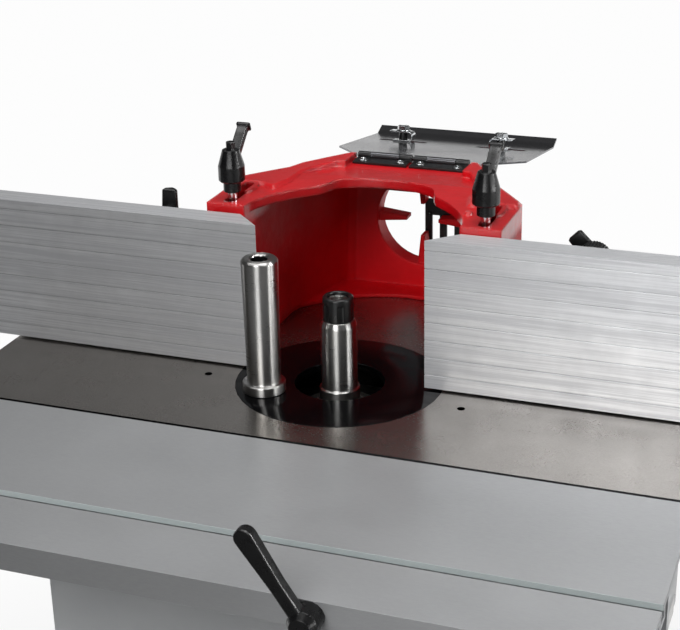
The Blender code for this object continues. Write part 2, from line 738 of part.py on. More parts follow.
# Fences: grooved extrusions with T-slots behind and mitred inner ends
groove_rows = [FENCE_HEIGHT - GROOVE_TOP - i * GROOVE_PITCH for i in range(GROOVE_COUNT)]
fence_face = [(0.0, FENCE_HEIGHT)]
for height in groove_rows:
    fence_face += [(0.0, height + GROOVE_WIDTH / 2), (GROOVE_DEPTH, height), (0.0, height - GROOVE_WIDTH / 2)]
fence_face += [(0.0, 0.0), (FENCE_THICK, 0.0)]
for height in (TEE_LOW, TEE_HEIGHT - FENCE_LIFT):
    lip = FENCE_THICK - TEE_LIP
    room = lip - TEE_ROOM
    fence_face += [(FENCE_THICK, height - TEE_MOUTH / 2), (lip, height - TEE_MOUTH / 2),
                   (lip, height - TEE_HEAD / 2), (room, height - TEE_HEAD / 2),
                   (room, height + TEE_HEAD / 2), (lip, height + TEE_HEAD / 2),
                   (lip, height + TEE_MOUTH / 2), (FENCE_THICK, height + TEE_MOUTH / 2)]
fence_face.append((FENCE_THICK, FENCE_HEIGHT))
chamber_low = TEE_LOW + TEE_HEAD / 2 + CHAMBER_WALL
chamber_high = TEE_HEIGHT - FENCE_LIFT - TEE_HEAD / 2 - CHAMBER_WALL
chamber_half = (chamber_high - chamber_low - CHAMBER_WALL) / 2


def fence(name, side, face, tip):
    start, end = (0.0, FENCE_LENGTH) if side > 0 else (-FENCE_LENGTH, 0.0)
    made = part(name, outline([fence_face], start, end, "X"), "aluminium", datum,
                (side * tip, face, FENCE_LIFT))
    for low in (chamber_low, chamber_low + chamber_half + CHAMBER_WALL):
        cut(made, box((start - 0.01, CHAMBER_WALL, low),
                      (end + 0.01, FENCE_THICK - CHAMBER_WALL, low + chamber_half)))
    wedge = [(-side * 0.01, -0.01), (-side * 0.01, FENCE_THICK + 0.01), (side * (FENCE_THICK + 0.01),
                                                                         FENCE_THICK + 0.01)]
    cut(made, outline([wedge], -0.01, FENCE_HEIGHT + 0.01))
    return made


fence("left_fence", -1, LEFT_FENCE_FACE, LEFT_FENCE_TIP)
fence("right_fence", 1, RIGHT_FENCE_FACE, RIGHT_FENCE_TIP)

# Fence carriers that slide in the hood's arms, their studs and clamp levers
lever_top = LEVER_SKIRT + LEVER_BARREL + LEVER_CONE
lever_bore = LEVER_SKIRT + LEVER_BARREL
stud_bore = STUD_RADIUS + SEAT_GAP
lever_profile = [(0.0, lever_top), (LEVER_CAP_RADIUS + 0.0025, lever_top),
                 (LEVER_RADIUS, lever_bore), (LEVER_RADIUS, LEVER_SKIRT),
                 (LEVER_SKIRT_RADIUS, LEVER_SKIRT), (LEVER_SKIRT_RADIUS, 0.0),
                 (stud_bore, 0.0), (stud_bore, lever_bore), (0.0, lever_bore)]
lever_arm = [(0.0, lever_bore + 0.002), (LEVER_RADIUS - 0.003, lever_bore + 0.001),
             (LEVER_REACH, LEVER_RISE - 0.0085), (LEVER_REACH + 0.0055, LEVER_RISE - 0.009),
             (LEVER_REACH + 0.0065, LEVER_RISE), (LEVER_REACH - 0.004, LEVER_RISE + 0.003),
             (LEVER_REACH - 0.005, LEVER_RISE - 0.002), (0.0, lever_bore + 0.012)]


def carrier(tag, side, face, bolt_x):
    front = face + FENCE_THICK + SEAT_GAP
    inner = arm_inner + HOOD_WALL + 0.0015
    outer = ARM_HALF_SPAN - HOOD_WALL - 0.0015
    shape = [(inner, 0.0), (CARRIER_REACH, 0.0), (CARRIER_REACH, CARRIER_TOP - 0.002),
             (ARM_HALF_SPAN + 0.016, CARRIER_TOP - 0.002), (ARM_HALF_SPAN + 0.006, CARRIER_NECK),
             (inner, CARRIER_NECK)]
    made = part(tag + "_fence_carrier",
                outline([[(side * x, z) for x, z in shape]], front, front + CARRIER_PLATE, "Y"),
                "cast_iron", datum, (0.0, 0.0, SEAT_GAP))
    low, high = min(side * inner, side * outer), max(side * inner, side * outer)
    weld(made, box((low, front + 0.001, 0.0), (high, CARRIER_BACK, CARRIER_TOP)))
    cut(made, rod(WING_BOLT + SEAT_GAP, front - 0.01, front + CARRIER_PLATE + 0.01, COARSE, "Y"),
        (side * bolt_x, 0.0, TEE_HEIGHT - SEAT_GAP))
    stud_foot = CARRIER_TOP + 2 * SEAT_GAP
    part(tag + "_clamp_stud", rod(STUD_RADIUS, stud_foot, LEVER_BASE + lever_bore - SEAT_GAP, COARSE),
         "zinc", datum, (side * stud_x, STUD_Y, 0.0))
    lever = turned(tag + "_clamp_lever", lever_profile, "black_plastic", datum,
                   (side * stud_x, STUD_Y, LEVER_BASE), segments=COARSE)
    weld(lever, rod(LEVER_CAP_RADIUS, lever_top - 0.002, lever_top + LEVER_CAP, 6))
    weld(lever, outline([lever_arm], -LEVER_WIDTH / 2, LEVER_WIDTH / 2, "X"))
    return front + CARRIER_PLATE


def wing_lever(name, place, turn, plate, grip_room):
    # A low clamp lever with its own T-bolt, on an axis that points away from what it clamps.
    neck = plate + SEAT_GAP * 2 + grip_room
    points = [(0.0, WING_HUB), (WING_RADIUS - 0.004, WING_HUB), (WING_RADIUS, WING_HUB - 0.004),
              (WING_RADIUS, 0.0), (WING_BOLT, 0.0), (WING_BOLT, -neck),
              (TEE_HEAD / 2 - 0.0012, -neck), (TEE_HEAD / 2 - 0.0012, -neck - TEE_ROOM * 0.6),
              (0.0, -neck - TEE_ROOM * 0.6)]
    made = turned(name, points, "black_plastic", datum, place, turn, segments=COARSE)
    vane = [(0.0, WING_HUB - WING_THICK - 0.004), (WING_REACH, WING_HUB - WING_THICK + 0.003),
            (WING_REACH, WING_HUB + 0.002), (0.0, WING_HUB - 0.002)]
    weld(made, outline([vane], -WING_WIDTH / 2, WING_WIDTH / 2, "X"))
    return made


left_seat = carrier("left", -1, LEFT_FENCE_FACE, LEFT_BOLT_X)
right_seat = carrier("right", 1, RIGHT_FENCE_FACE, RIGHT_BOLT_X)
grip_room = TEE_LIP + 0.001
wing_lever("left_fence_lever", (-LEFT_BOLT_X, left_seat + SEAT_GAP, TEE_HEIGHT),
           (-math.pi / 2, math.pi, 0.0), CARRIER_PLATE, grip_room)
wing_lever("right_fence_lever", (RIGHT_BOLT_X, right_seat + SEAT_GAP, TEE_HEIGHT),
           (-math.pi / 2, math.radians(135.0), 0.0), CARRIER_PLATE, grip_room)

# Hinge on the hood's land and the cover that is thrown back on it
leaf_low = LAND_LEVEL + 2 * SEAT_GAP
hinge_z = leaf_low + HINGE_BARREL
pin_bore = HINGE_PIN + RUN_GAP
knuckle_inner = (LEAF_INNER, LEAF_INNER + KNUCKLE)
knuckle_outer = (LEAF_OUTER - KNUCKLE, LEAF_OUTER)
leaf_edge = HINGE_Y - HINGE_BARREL - KNUCKLE_GAP
for tag, side in (("left", -1), ("right", 1)):
    ends = sorted((side * LEAF_INNER, side * LEAF_OUTER))
    leaf = part("hinge_leaf_" + tag, box((ends[0], LEAF_FRONT, leaf_low), (ends[1], leaf_edge,
                                                                           leaf_low + HINGE_LEAF)),
                "black_paint", datum)
    for span in (knuckle_inner, knuckle_outer):
        low, high = sorted((side * span[0], side * span[1]))
        weld(leaf, box((low, leaf_edge - 0.002, leaf_low), (high, HINGE_Y, leaf_low + HINGE_LEAF)))
        weld(leaf, rod(HINGE_BARREL, low, high, 16, "X"), (0.0, HINGE_Y, hinge_z))
    cut(leaf, rod(pin_bore, ends[0] - 0.01, ends[1] + 0.01, 16, "X"), (0.0, HINGE_Y, hinge_z))
part("hinge_pin", rod(HINGE_PIN, -LEAF_OUTER, LEAF_OUTER, 16, "X"), "zinc", datum, (0.0, HINGE_Y, hinge_z))

cover_pivot = pivot("cover_hinge", (0.0, HINGE_Y, hinge_z), datum, (COVER_TILT, 0.0, 0.0))
sheet_low = -HINGE_BARREL
sheet_high = COVER_THICK - HINGE_BARREL
cover_edge = HINGE_BARREL + KNUCKLE_GAP
cover_line = [(COVER_NECK_HALF - 0.002, cover_edge), (COVER_NECK_HALF, cover_edge + 0.0015),
              (COVER_HALF, COVER_SHOULDER), (COVER_HALF, COVER_LENGTH)]
cover = part("guard_cover", outline([mirrored(cover_line)], sheet_low, sheet_high), "blued_plate",
             cover_pivot)
lip_line = [(COVER_LENGTH - 0.002, sheet_low), (COVER_LENGTH + 0.0005, sheet_low),
            (COVER_LENGTH + COVER_LIP + 0.0005, sheet_low + COVER_LIP_RISE),
            (COVER_LENGTH + COVER_LIP - 0.0005, sheet_high + COVER_LIP_RISE),
            (COVER_LENGTH - 0.0005, sheet_high), (COVER_LENGTH - 0.002, sheet_high)]
weld(cover, outline([lip_line], -COVER_HALF, COVER_HALF, "X"))
for side in (-1, 1):
    low, high = sorted((side * (knuckle_inner[1] + KNUCKLE_GAP), side * (knuckle_outer[0] - KNUCKLE_GAP)))
    weld(cover, box((low, 0.0, sheet_low), (high, cover_edge + 0.002, sheet_high)))
    weld(cover, rod(HINGE_BARREL, low, high, 16, "X"))
    cut(cover, outline([slot((side * COVER_SLOT_X, COVER_SLOT_Y), COVER_SLOT_LENGTH / 2, COVER_SLOT_WIDTH / 2,
                             "X")], sheet_low - 0.01, sheet_high + 0.01))
cut(cover, rod(pin_bore, -LEAF_OUTER, LEAF_OUTER, 16, "X"))

clip_low = sheet_high + SEAT_GAP
clip_top = clip_low + CLIP_HEIGHT
bend = CLIP_HEIGHT / 2
bend_middle = (bend - CLIP_INNER, clip_low + bend)
clip_line = [(CLIP_OUTER * 0.7, clip_low)] + arc(bend_middle, bend, -math.pi / 2, -1.5 * math.pi, 8)
clip_line += [(CLIP_OUTER, clip_top), (CLIP_OUTER, clip_top - CLIP_THICK)]
clip_line += arc(bend_middle, bend - CLIP_THICK, -1.5 * math.pi, -math.pi / 2, 8)
clip_line += [(CLIP_OUTER * 0.7, clip_low + CLIP_THICK)]
nut_high = sheet_low - SEAT_GAP
washer_top = clip_top + CLAMP_WASHER_THICK
for tag, side in (("left", -1), ("right", 1)):
    strip = [(side * x, z) for x, z in clip_line]
    clamp = part("cover_clamp_" + tag, outline([strip], -CLIP_WIDTH / 2, CLIP_WIDTH / 2, "Y"), "zinc",
                 cover_pivot, (side * COVER_SLOT_X, COVER_SLOT_Y, 0.0))
    weld(clamp, rod(CLAMP_BOLT, nut_high - CLAMP_HEAD - 0.002, clip_top + 0.001, 16))
    weld(clamp, rod(CLAMP_WASHER, clip_top - 0.0004, washer_top, COARSE))
    weld(clamp, rod(CLAMP_HEX, washer_top - 0.0004, washer_top + CLAMP_HEAD, 6))
    weld(clamp, rod(CLAMP_HEX, nut_high - CLAMP_HEAD, nut_high, 6))

# Spindle: shaft in its bearings and quill, with the router chuck on top
lift_pivot = pivot("spindle_lift", (0.0, 0.0, 0.0), datum)
spin_pivot = pivot("spindle_spin", (0.0, 0.0, 0.0), lift_pivot)
quill_end = QUILL_TOP + QUILL_LENGTH
upper_top = -QUILL_TOP - BEARING_INSET
upper_low = upper_top - BEARING_WIDTH
lower_low = -quill_end + BEARING_INSET
lower_top = lower_low + BEARING_WIDTH
shoulder = SHAFT_RADIUS + SHAFT_SHOULDER
chuck_seat = -CHUCK_BOTTOM
turned("spindle_shaft", [(0.0, chuck_seat - SEAT_GAP), (SHAFT_RADIUS, chuck_seat - SEAT_GAP),
                         (SHAFT_RADIUS, upper_low - SEAT_GAP), (shoulder, upper_low - SEAT_GAP),
                         (shoulder, lower_top + SEAT_GAP), (SHAFT_RADIUS, lower_top + SEAT_GAP),
                         (SHAFT_RADIUS, -SHAFT_TAIL), (0.0, -SHAFT_TAIL)], "polished_steel", spin_pivot)
chuck_base = chuck_seat + CHUCK_FLANGE
nose_top = CHUCK_TOP + CHUCK_NOSE
turned("router_spindle", [(0.0, nose_top), (CHUCK_NOSE_RADIUS, nose_top), (CHUCK_NOSE_RADIUS, CHUCK_TOP),
                          (CHUCK_RADIUS - 0.0018, CHUCK_TOP), (CHUCK_RADIUS, CHUCK_TOP - 0.0018),
                          (CHUCK_RADIUS, chuck_base), (CHUCK_FLANGE_RADIUS - 0.0008, chuck_base),
                          (CHUCK_FLANGE_RADIUS, chuck_base - 0.0008), (CHUCK_FLANGE_RADIUS, chuck_seat),
                          (0.0, chuck_seat)], "polished_steel", spin_pivot)
nut_low = CHUCK_TOP + SEAT_GAP
nut_bore = CHUCK_NOSE_RADIUS + RUN_GAP
turned("collet_nut", [(NUT_MOUTH, NUT_TOP), (NUT_RADIUS - 0.0022, NUT_TOP), (NUT_RADIUS, NUT_TOP - 0.0022),
                      (NUT_RADIUS, nut_low), (nut_bore, nut_low), (nut_bore, NUT_TOP - NUT_LIP),
                      (NUT_MOUTH, NUT_TOP - NUT_LIP)], "black_paint", spin_pivot, closed=True)
collet_radius = NUT_MOUTH - SEAT_GAP
turned("collet", [(COLLET_BORE, NUT_TOP - 0.0015), (collet_radius, NUT_TOP - 0.0015),
                  (collet_radius, nose_top + SEAT_GAP), (COLLET_BORE, nose_top + SEAT_GAP)],
       "polished_steel", spin_pivot, closed=True, segments=COARSE)
for tag, top in (("upper", upper_top), ("lower", lower_top)):
    low = top - BEARING_WIDTH
    bore = SHAFT_RADIUS + RUN_GAP
    turned(tag + "_bearing", [(bore, top), (BEARING_RADIUS, top), (BEARING_RADIUS, low), (bore, low)],
           "polished_steel", lift_pivot, closed=True)
seat = BEARING_RADIUS + SEAT_GAP
quill_bore = BEARING_RADIUS - 0.004
turned("quill", [(seat, -QUILL_TOP), (QUILL_RADIUS, -QUILL_TOP), (QUILL_RADIUS, -quill_end),
                 (seat, -quill_end), (seat, lower_top + SEAT_GAP), (quill_bore, lower_top + SEAT_GAP),
                 (quill_bore, upper_low - SEAT_GAP), (seat, upper_low - SEAT_GAP)],
       "machined_iron", lift_pivot, closed=True)

# Spare spindle that stands on the ring
spare_pivot = pivot("spare_place", (SPARE_X, SPARE_Y, SEAT_GAP), datum)
bore_floor = SPARE_HEIGHT - SPARE_BORE_DEPTH
turned("spare_spindle", [(0.0, bore_floor), (SPARE_BORE, bore_floor),
                         (SPARE_BORE, SPARE_HEIGHT - 0.001), (SPARE_BORE + 0.001, SPARE_HEIGHT),
                         (SPARE_TOP_RADIUS - 0.003, SPARE_HEIGHT),
                         (SPARE_TOP_RADIUS, SPARE_HEIGHT - 0.003),
                         (SPARE_RADIUS, SPARE_FLANGE), (SPARE_FLANGE_RADIUS - 0.0008, SPARE_FLANGE),
                         (SPARE_FLANGE_RADIUS, SPARE_FLANGE - 0.0008), (SPARE_FLANGE_RADIUS, 0.0),
                         (0.0, 0.0)], "polished_steel", spare_pivot)

# Carriage on two columns under the table, with its lead screw and nut
guide_top = -TABLE_SKIRT - SEAT_GAP
guide_low = guide_top - GUIDE_FLANGE
column_top = guide_low - SEAT_GAP
crank_z = -CRANK_DROP
foot_top = crank_z - GEAR_ROOM
foot_low = foot_top - FOOT_THICK
column_low = foot_top + SEAT_GAP
boss = COLUMN_RADIUS + BOSS_WALL
block_front = QUILL_RADIUS - BOSS_WALL / 2
block_back = COLUMN_Y + boss + 0.012
block_half = COLUMN_X + boss
plate = part("guide_flange", box((-GUIDE_HALF, -QUILL_RADIUS - 0.024, guide_low),
                                 (GUIDE_HALF, block_back + 0.004, guide_top)), "cast_iron", datum)
cut(plate, rod(QUILL_RADIUS + 0.010, guide_low - 0.01, guide_top + 0.01, ROUND))
cut(plate, rod(LEAD_RADIUS + RUN_GAP, guide_low - 0.01, guide_top + 0.01, COARSE), (0.0, LEAD_Y, 0.0))
for tag, side in (("left", -1), ("right", 1)):
    part("guide_column_" + tag, rod(COLUMN_RADIUS, column_low, column_top, COARSE), "polished_steel", datum,
         (side * COLUMN_X, COLUMN_Y, 0.0))
carriage_low = -CARRIAGE_TOP - CARRIAGE_HEIGHT
carriage = part("carriage", box((-block_half, block_front, carriage_low),
                                (block_half, block_back, -CARRIAGE_TOP)), "cast_iron", lift_pivot)
soften(carriage, 0.010, 2, 60.0)
weld(carriage, rod(QUILL_RADIUS + BOSS_WALL, carriage_low, -CARRIAGE_TOP, ROUND))
cut(carriage, rod(QUILL_RADIUS + SEAT_GAP, carriage_low - 0.01, 0.01 - CARRIAGE_TOP, ROUND))
for side in (-1, 1):
    cut(carriage, rod(COLUMN_RADIUS + RUN_GAP, carriage_low - 0.01, 0.01 - CARRIAGE_TOP, COARSE),
        (side * COLUMN_X, COLUMN_Y, 0.0))
nut_radius = LEAD_RADIUS + NUT_WALL
cut(carriage, rod(nut_radius + SEAT_GAP, carriage_low - 0.01, 0.01 - CARRIAGE_TOP, COARSE),
    (0.0, LEAD_Y, 0.0))
nut_top = carriage_low + CARRIAGE_HEIGHT / 2
nut_flange_low = carriage_low - SEAT_GAP - NUT_FLANGE
turned("lead_nut", [(LEAD_RADIUS + RUN_GAP, nut_top), (nut_radius, nut_top),
                    (nut_radius, carriage_low - SEAT_GAP), (nut_radius + 0.005, carriage_low - SEAT_GAP),
                    (nut_radius + 0.005, nut_flange_low), (LEAD_RADIUS + RUN_GAP, nut_flange_low)],
       "bronze", lift_pivot, (0.0, LEAD_Y, 0.0), closed=True, segments=COARSE)
foot_half = COLUMN_X + COLUMN_RADIUS + FOOT_MARGIN
foot = part("guide_foot", box((-foot_half, COLUMN_Y - boss, foot_low), (foot_half, block_back, foot_top)),
            "cast_iron", datum)
pedestal_back = LEAD_Y - GEAR_RADIUS - GEAR_HUB - 0.004
weld(foot, box((-PEDESTAL, pedestal_back - PEDESTAL, foot_low), (PEDESTAL, COLUMN_Y, foot_top)))
weld(foot, box((-PEDESTAL, pedestal_back - PEDESTAL, foot_low + 0.001),
               (PEDESTAL, pedestal_back, crank_z + PEDESTAL)))
cut(foot, rod(CRANK_RADIUS + RUN_GAP, pedestal_back - PEDESTAL - 0.01, pedestal_back + 0.01, COARSE, "Y"),
    (0.0, 0.0, crank_z))
cut(foot, rod(LEAD_RADIUS + RUN_GAP, foot_low - 0.01, foot_top + 0.01, COARSE), (0.0, LEAD_Y, 0.0))
screw_pivot = pivot("lead_screw_axis", (0.0, LEAD_Y, 0.0), datum)
turned("lead_screw", [(0.0, guide_top - 0.001), (LEAD_RADIUS, guide_top - 0.001),
                      (LEAD_RADIUS, foot_top + SEAT_GAP + LEAD_COLLAR),
                      (LEAD_COLLAR_RADIUS, foot_top + SEAT_GAP + LEAD_COLLAR),
                      (LEAD_COLLAR_RADIUS, foot_top + SEAT_GAP), (LEAD_RADIUS, foot_top + SEAT_GAP),
                      (LEAD_RADIUS, foot_low), (0.0, foot_low)],
       "polished_steel", screw_pivot, segments=COARSE)


def bevel_gear(name, bore, parent, place, turn, phase):
    # Teeth drawn at the large end and drawn in towards the point where both axes meet.
    pitch = 2 * math.pi / GEAR_TEETH
    rim = []
    for i in range(GEAR_TEETH):
        middle = (i + phase) * pitch
        for share, radius in ((-0.30, GEAR_RADIUS - GEAR_DEDENDUM), (-0.14, GEAR_RADIUS + GEAR_ADDENDUM),
                              (0.14, GEAR_RADIUS + GEAR_ADDENDUM), (0.30, GEAR_RADIUS - GEAR_DEDENDUM)):
            angle = middle + share * pitch
            rim.append((radius * math.cos(angle), radius * math.sin(angle)))
    mesh = outline([rim], GEAR_TAPER * GEAR_RADIUS, GEAR_RADIUS)
    for vertex in mesh.vertices:
        if vertex.co.z < (GEAR_TAPER + 1) / 2 * GEAR_RADIUS:
            vertex.co.x *= GEAR_TAPER
            vertex.co.y *= GEAR_TAPER
    made = part(name, mesh, "polished_steel", parent, place, turn)
    weld(made, rod(GEAR_HUB_RADIUS, GEAR_RADIUS - 0.001, GEAR_RADIUS + GEAR_HUB, COARSE))
    cut(made, rod(bore + RUN_GAP, 0.0, GEAR_RADIUS + GEAR_HUB + 0.01, COARSE))
    return made


bevel_gear("lead_screw_gear", LEAD_RADIUS, screw_pivot, (0.0, 0.0, crank_z), (0.0, 0.0, 0.0), 0.5)
crank_pivot = pivot("handwheel_axis", (0.0, LEAD_Y, crank_z), datum, (math.pi / 2, 0.0, 0.0))
bevel_gear("handwheel_gear", CRANK_RADIUS, crank_pivot, (0.0, 0.0, 0.0), (0.0, 0.0, 0.0), 0.0)

# Handwheel on its shaft through the cabinet front
front_plane = LEAD_Y + TABLE_FRONT
wheel_middle = front_plane + CRANK_FRONT - WHEEL_HUB_LENGTH / 2
hub_low = wheel_middle - WHEEL_HUB_LENGTH / 2
hub_high = wheel_middle + WHEEL_HUB_LENGTH / 2
part("handwheel_shaft", rod(CRANK_RADIUS, GEAR_TAPER * GEAR_RADIUS + 0.001, hub_high - 0.002, COARSE),
     "polished_steel", crank_pivot)
wheel = part("handwheel", rod(WHEEL_HUB, hub_low, hub_high, COARSE), "black_plastic", crank_pivot)
rim_shape = [(WHEEL_RADIUS + WHEEL_RIM * u, WHEEL_RIM * v)
             for u, v in arc((0.0, 0.0), 1.0, math.pi / 2, -1.5 * math.pi, 8)[:-1]]
rim = spin(tool(profile(rim_shape, True), wheel, (0.0, 0.0, wheel_middle)), ROUND)
combine(wheel, rim, "UNION")
for third in range(3):
    weld(wheel, rod(WHEEL_SPOKE, WHEEL_HUB / 2, WHEEL_RADIUS, 12, "X"), (0.0, 0.0, wheel_middle),
         (0.0, 0.0, math.pi / 2 + third * 2 * math.pi / 3))
cut(wheel, rod(CRANK_RADIUS + SEAT_GAP, hub_low - 0.01, hub_high - 0.001, COARSE))
grip_low = wheel_middle + WHEEL_RIM + SEAT_GAP
grip_line = [(GRIP_RADIUS * width, grip_low + GRIP_LENGTH * share)
             for width, share in ((0.0, 1.0), (0.7, 1.0), (1.0, 0.85), (0.92, 0.45), (0.6, 0.08), (0.6, 0.0),
                                  (0.0, 0.0))]
turned("handwheel_grip", grip_line, "black_plastic", crank_pivot, (WHEEL_RADIUS, 0.0, 0.0), segments=COARSE)
bush_back = front_plane - CABINET_SHEET - 0.008
bush_radius = CRANK_RADIUS + BUSH_WALL
turned("shaft_bush", [(CRANK_RADIUS + RUN_GAP, front_plane + SEAT_GAP + BUSH_FLANGE),
                      (bush_radius + 0.006, front_plane + SEAT_GAP + BUSH_FLANGE),
                      (bush_radius + 0.006, front_plane + SEAT_GAP), (bush_radius, front_plane + SEAT_GAP),
                      (bush_radius, bush_back), (CRANK_RADIUS + RUN_GAP, bush_back)],
       "bronze", crank_pivot, closed=True, segments=COARSE)

# Motor on its bracket, pulleys and belt
motor_x = MOTOR_ROOM - CABINET_HALF
pulley_low = -PULLEY_TOP - PULLEY_WIDTH
shelf_top = pulley_low - 0.022
shelf_low = shelf_top - BRACKET_PLATE
bracket_front = block_back + SEAT_GAP
bracket = part("motor_bracket", box((motor_x - BRACKET_MARGIN, bracket_front, shelf_low),
                                    (boss - COLUMN_X, bracket_front + BRACKET_PLATE, -CARRIAGE_TOP - 0.008)),
               "cast_iron", lift_pivot)
weld(bracket, box((motor_x - BRACKET_MARGIN, MOTOR_Y - BRACKET_MARGIN, shelf_low),
                  (-COLUMN_X - COLUMN_RADIUS - COLUMN_ROOM, bracket_front + 0.001, shelf_top)))
cut(bracket, rod(MOTOR_SHAFT_RADIUS + 0.004, shelf_low - 0.01, shelf_top + 0.01, COARSE),
    (motor_x, MOTOR_Y, 0.0))
motor_pivot = pivot("motor_axis", (motor_x, MOTOR_Y, 0.0), lift_pivot)
flange_top = shelf_low - SEAT_GAP
motor_low = flange_top - MOTOR_FLANGE - MOTOR_LENGTH
fins = []
for i in range(MOTOR_FINS):
    step = 2 * math.pi / MOTOR_FINS
    for share, radius in ((-0.42, MOTOR_RADIUS - MOTOR_FIN), (-0.12, MOTOR_RADIUS), (0.12, MOTOR_RADIUS),
                          (0.42, MOTOR_RADIUS - MOTOR_FIN)):
        fins.append((radius * math.cos((i + share) * step), radius * math.sin((i + share) * step)))
motor = part("motor_housing", outline([fins], motor_low, flange_top - MOTOR_FLANGE + 0.001), "dark_paint",
             motor_pivot)
weld(motor, rod(MOTOR_FLANGE_RADIUS, flange_top - MOTOR_FLANGE, flange_top, ROUND))
cut(motor, rod(MOTOR_SHAFT_RADIUS + RUN_GAP, flange_top - MOTOR_SHAFT_SEAT, flange_top + 0.01, COARSE))
fan_top = motor_low - SEAT_GAP
fan_low = fan_top - FAN_COVER
turned("motor_fan_cover", [(0.0, fan_top), (MOTOR_RADIUS + FAN_WALL, fan_top),
                           (MOTOR_RADIUS + FAN_WALL, fan_low + 0.008), (MOTOR_RADIUS - 0.006, fan_low),
                           (0.0, fan_low)], "dark_paint", motor_pivot)
part("motor_shaft", rod(MOTOR_SHAFT_RADIUS, flange_top - MOTOR_SHAFT_SEAT + SEAT_GAP, -PULLEY_TOP, COARSE),
     "polished_steel", motor_pivot)


def pulley(name, radius, bore, parent):
    top, low = -PULLEY_TOP, pulley_low
    return turned(name, [(bore, top), (radius + PULLEY_LIP, top), (radius + PULLEY_LIP, top - PULLEY_FLANGE),
                         (radius, top - PULLEY_FLANGE), (radius, low + PULLEY_FLANGE),
                         (radius + PULLEY_LIP, low + PULLEY_FLANGE), (radius + PULLEY_LIP, low), (bore, low)],
                  "aluminium", parent, closed=True)


pulley("spindle_pulley", SPINDLE_PULLEY, SHAFT_RADIUS + RUN_GAP, spin_pivot)
pulley("motor_pulley", MOTOR_PULLEY, MOTOR_SHAFT_RADIUS + RUN_GAP, motor_pivot)


def belt_line(extra):
    # Two arcs joined by the outer tangents of the pulleys.
    reach = math.hypot(motor_x, MOTOR_Y)
    heading = math.atan2(MOTOR_Y, motor_x)
    lean = math.acos((MOTOR_PULLEY - SPINDLE_PULLEY) / reach)
    away = heading + math.pi
    large = arc((motor_x, MOTOR_Y), MOTOR_PULLEY + extra, heading - math.pi + lean, away - lean, 24)
    small = arc((0.0, 0.0), SPINDLE_PULLEY + extra, away - lean, away + lean, 14)
    return large + small


belt_gap = PULLEY_FLANGE + SEAT_GAP
part("drive_belt", outline([belt_line(SEAT_GAP + BELT_THICK), belt_line(SEAT_GAP)], pulley_low + belt_gap,
                           -PULLEY_TOP - belt_gap), "rubber", lift_pivot)

# Sliding table, its rail and the brackets on the machine's front
slide_rear = -TABLE_FRONT - SLIDE_GAP
slide_front = slide_rear - SLIDE_WIDTH
rail_front = -RAIL_Y - RAIL_WIDTH / 2
rail_rear = -RAIL_Y + RAIL_WIDTH / 2
rail_low = -TABLE_SKIRT
rail_top = rail_low + RAIL_HEIGHT
runner_top = rail_top + SEAT_GAP
runner_low = runner_top - RUNNER_DROP
tee_front = -SLIDE_TEE_Y - SLIDE_TEE_MOUTH / 2
tee_rear = -SLIDE_TEE_Y + SLIDE_TEE_MOUTH / 2
head_front = -SLIDE_TEE_Y - SLIDE_TEE_HEAD / 2
head_rear = -SLIDE_TEE_Y + SLIDE_TEE_HEAD / 2
tee_floor = -SLIDE_TEE_LIP - SLIDE_TEE_ROOM
slide_line = [(slide_rear, 0.0), (tee_rear, 0.0), (tee_rear, -SLIDE_TEE_LIP), (head_rear, -SLIDE_TEE_LIP),
              (head_rear, tee_floor), (head_front, tee_floor), (head_front, -SLIDE_TEE_LIP),
              (tee_front, -SLIDE_TEE_LIP), (tee_front, 0.0), (slide_front, 0.0), (slide_front, -SLIDE_EDGE),
              (slide_front + SLIDE_WALL, -SLIDE_EDGE), (slide_front + SLIDE_WALL, -SLIDE_PLATE),
              (head_front - SLIDE_WALL, -SLIDE_PLATE), (head_front - SLIDE_WALL, tee_floor - SLIDE_WALL),
              (head_rear + SLIDE_WALL, tee_floor - SLIDE_WALL), (head_rear + SLIDE_WALL, -SLIDE_PLATE),
              (rail_front - RUNNER_WALL, -SLIDE_PLATE), (rail_front - RUNNER_WALL, runner_low),
              (rail_front - SEAT_GAP, runner_low), (rail_front - SEAT_GAP, runner_top),
              (rail_rear + SEAT_GAP, runner_top), (rail_rear + SEAT_GAP, runner_low),
              (rail_rear + RUNNER_WALL, runner_low), (rail_rear + RUNNER_WALL, -SLIDE_PLATE),
              (slide_rear - SLIDE_WALL, -SLIDE_PLATE), (slide_rear - SLIDE_WALL, -SLIDE_EDGE),
              (slide_rear, -SLIDE_EDGE)]
slide_pivot = pivot("sliding_table_way", (0.0, 0.0, 0.0), datum)
slide = part("sliding_table", outline([slide_line], -table_end, table_end, "X"), "aluminium", slide_pivot)
lock_z = -SLIDE_EDGE / 2
cut(slide, rod(WING_BOLT + SEAT_GAP, slide_front - 0.01, slide_front + SLIDE_WALL + 0.002, COARSE, "Y"),
    (LOCK_X, 0.0, lock_z))
part("slide_rail", box((-table_end, rail_front, rail_low), (table_end, rail_rear, rail_top)),
     "polished_steel", datum)
arm_top = rail_low - SEAT_GAP
arm_low = arm_top - RAIL_BRACKET_PLATE
leg_back = -TABLE_FRONT - SEAT_GAP
leg_front = leg_back - RAIL_BRACKET_PLATE
toe = -RAIL_Y - RAIL_BRACKET_TOE
leg_low = arm_top - RAIL_BRACKET_DROP
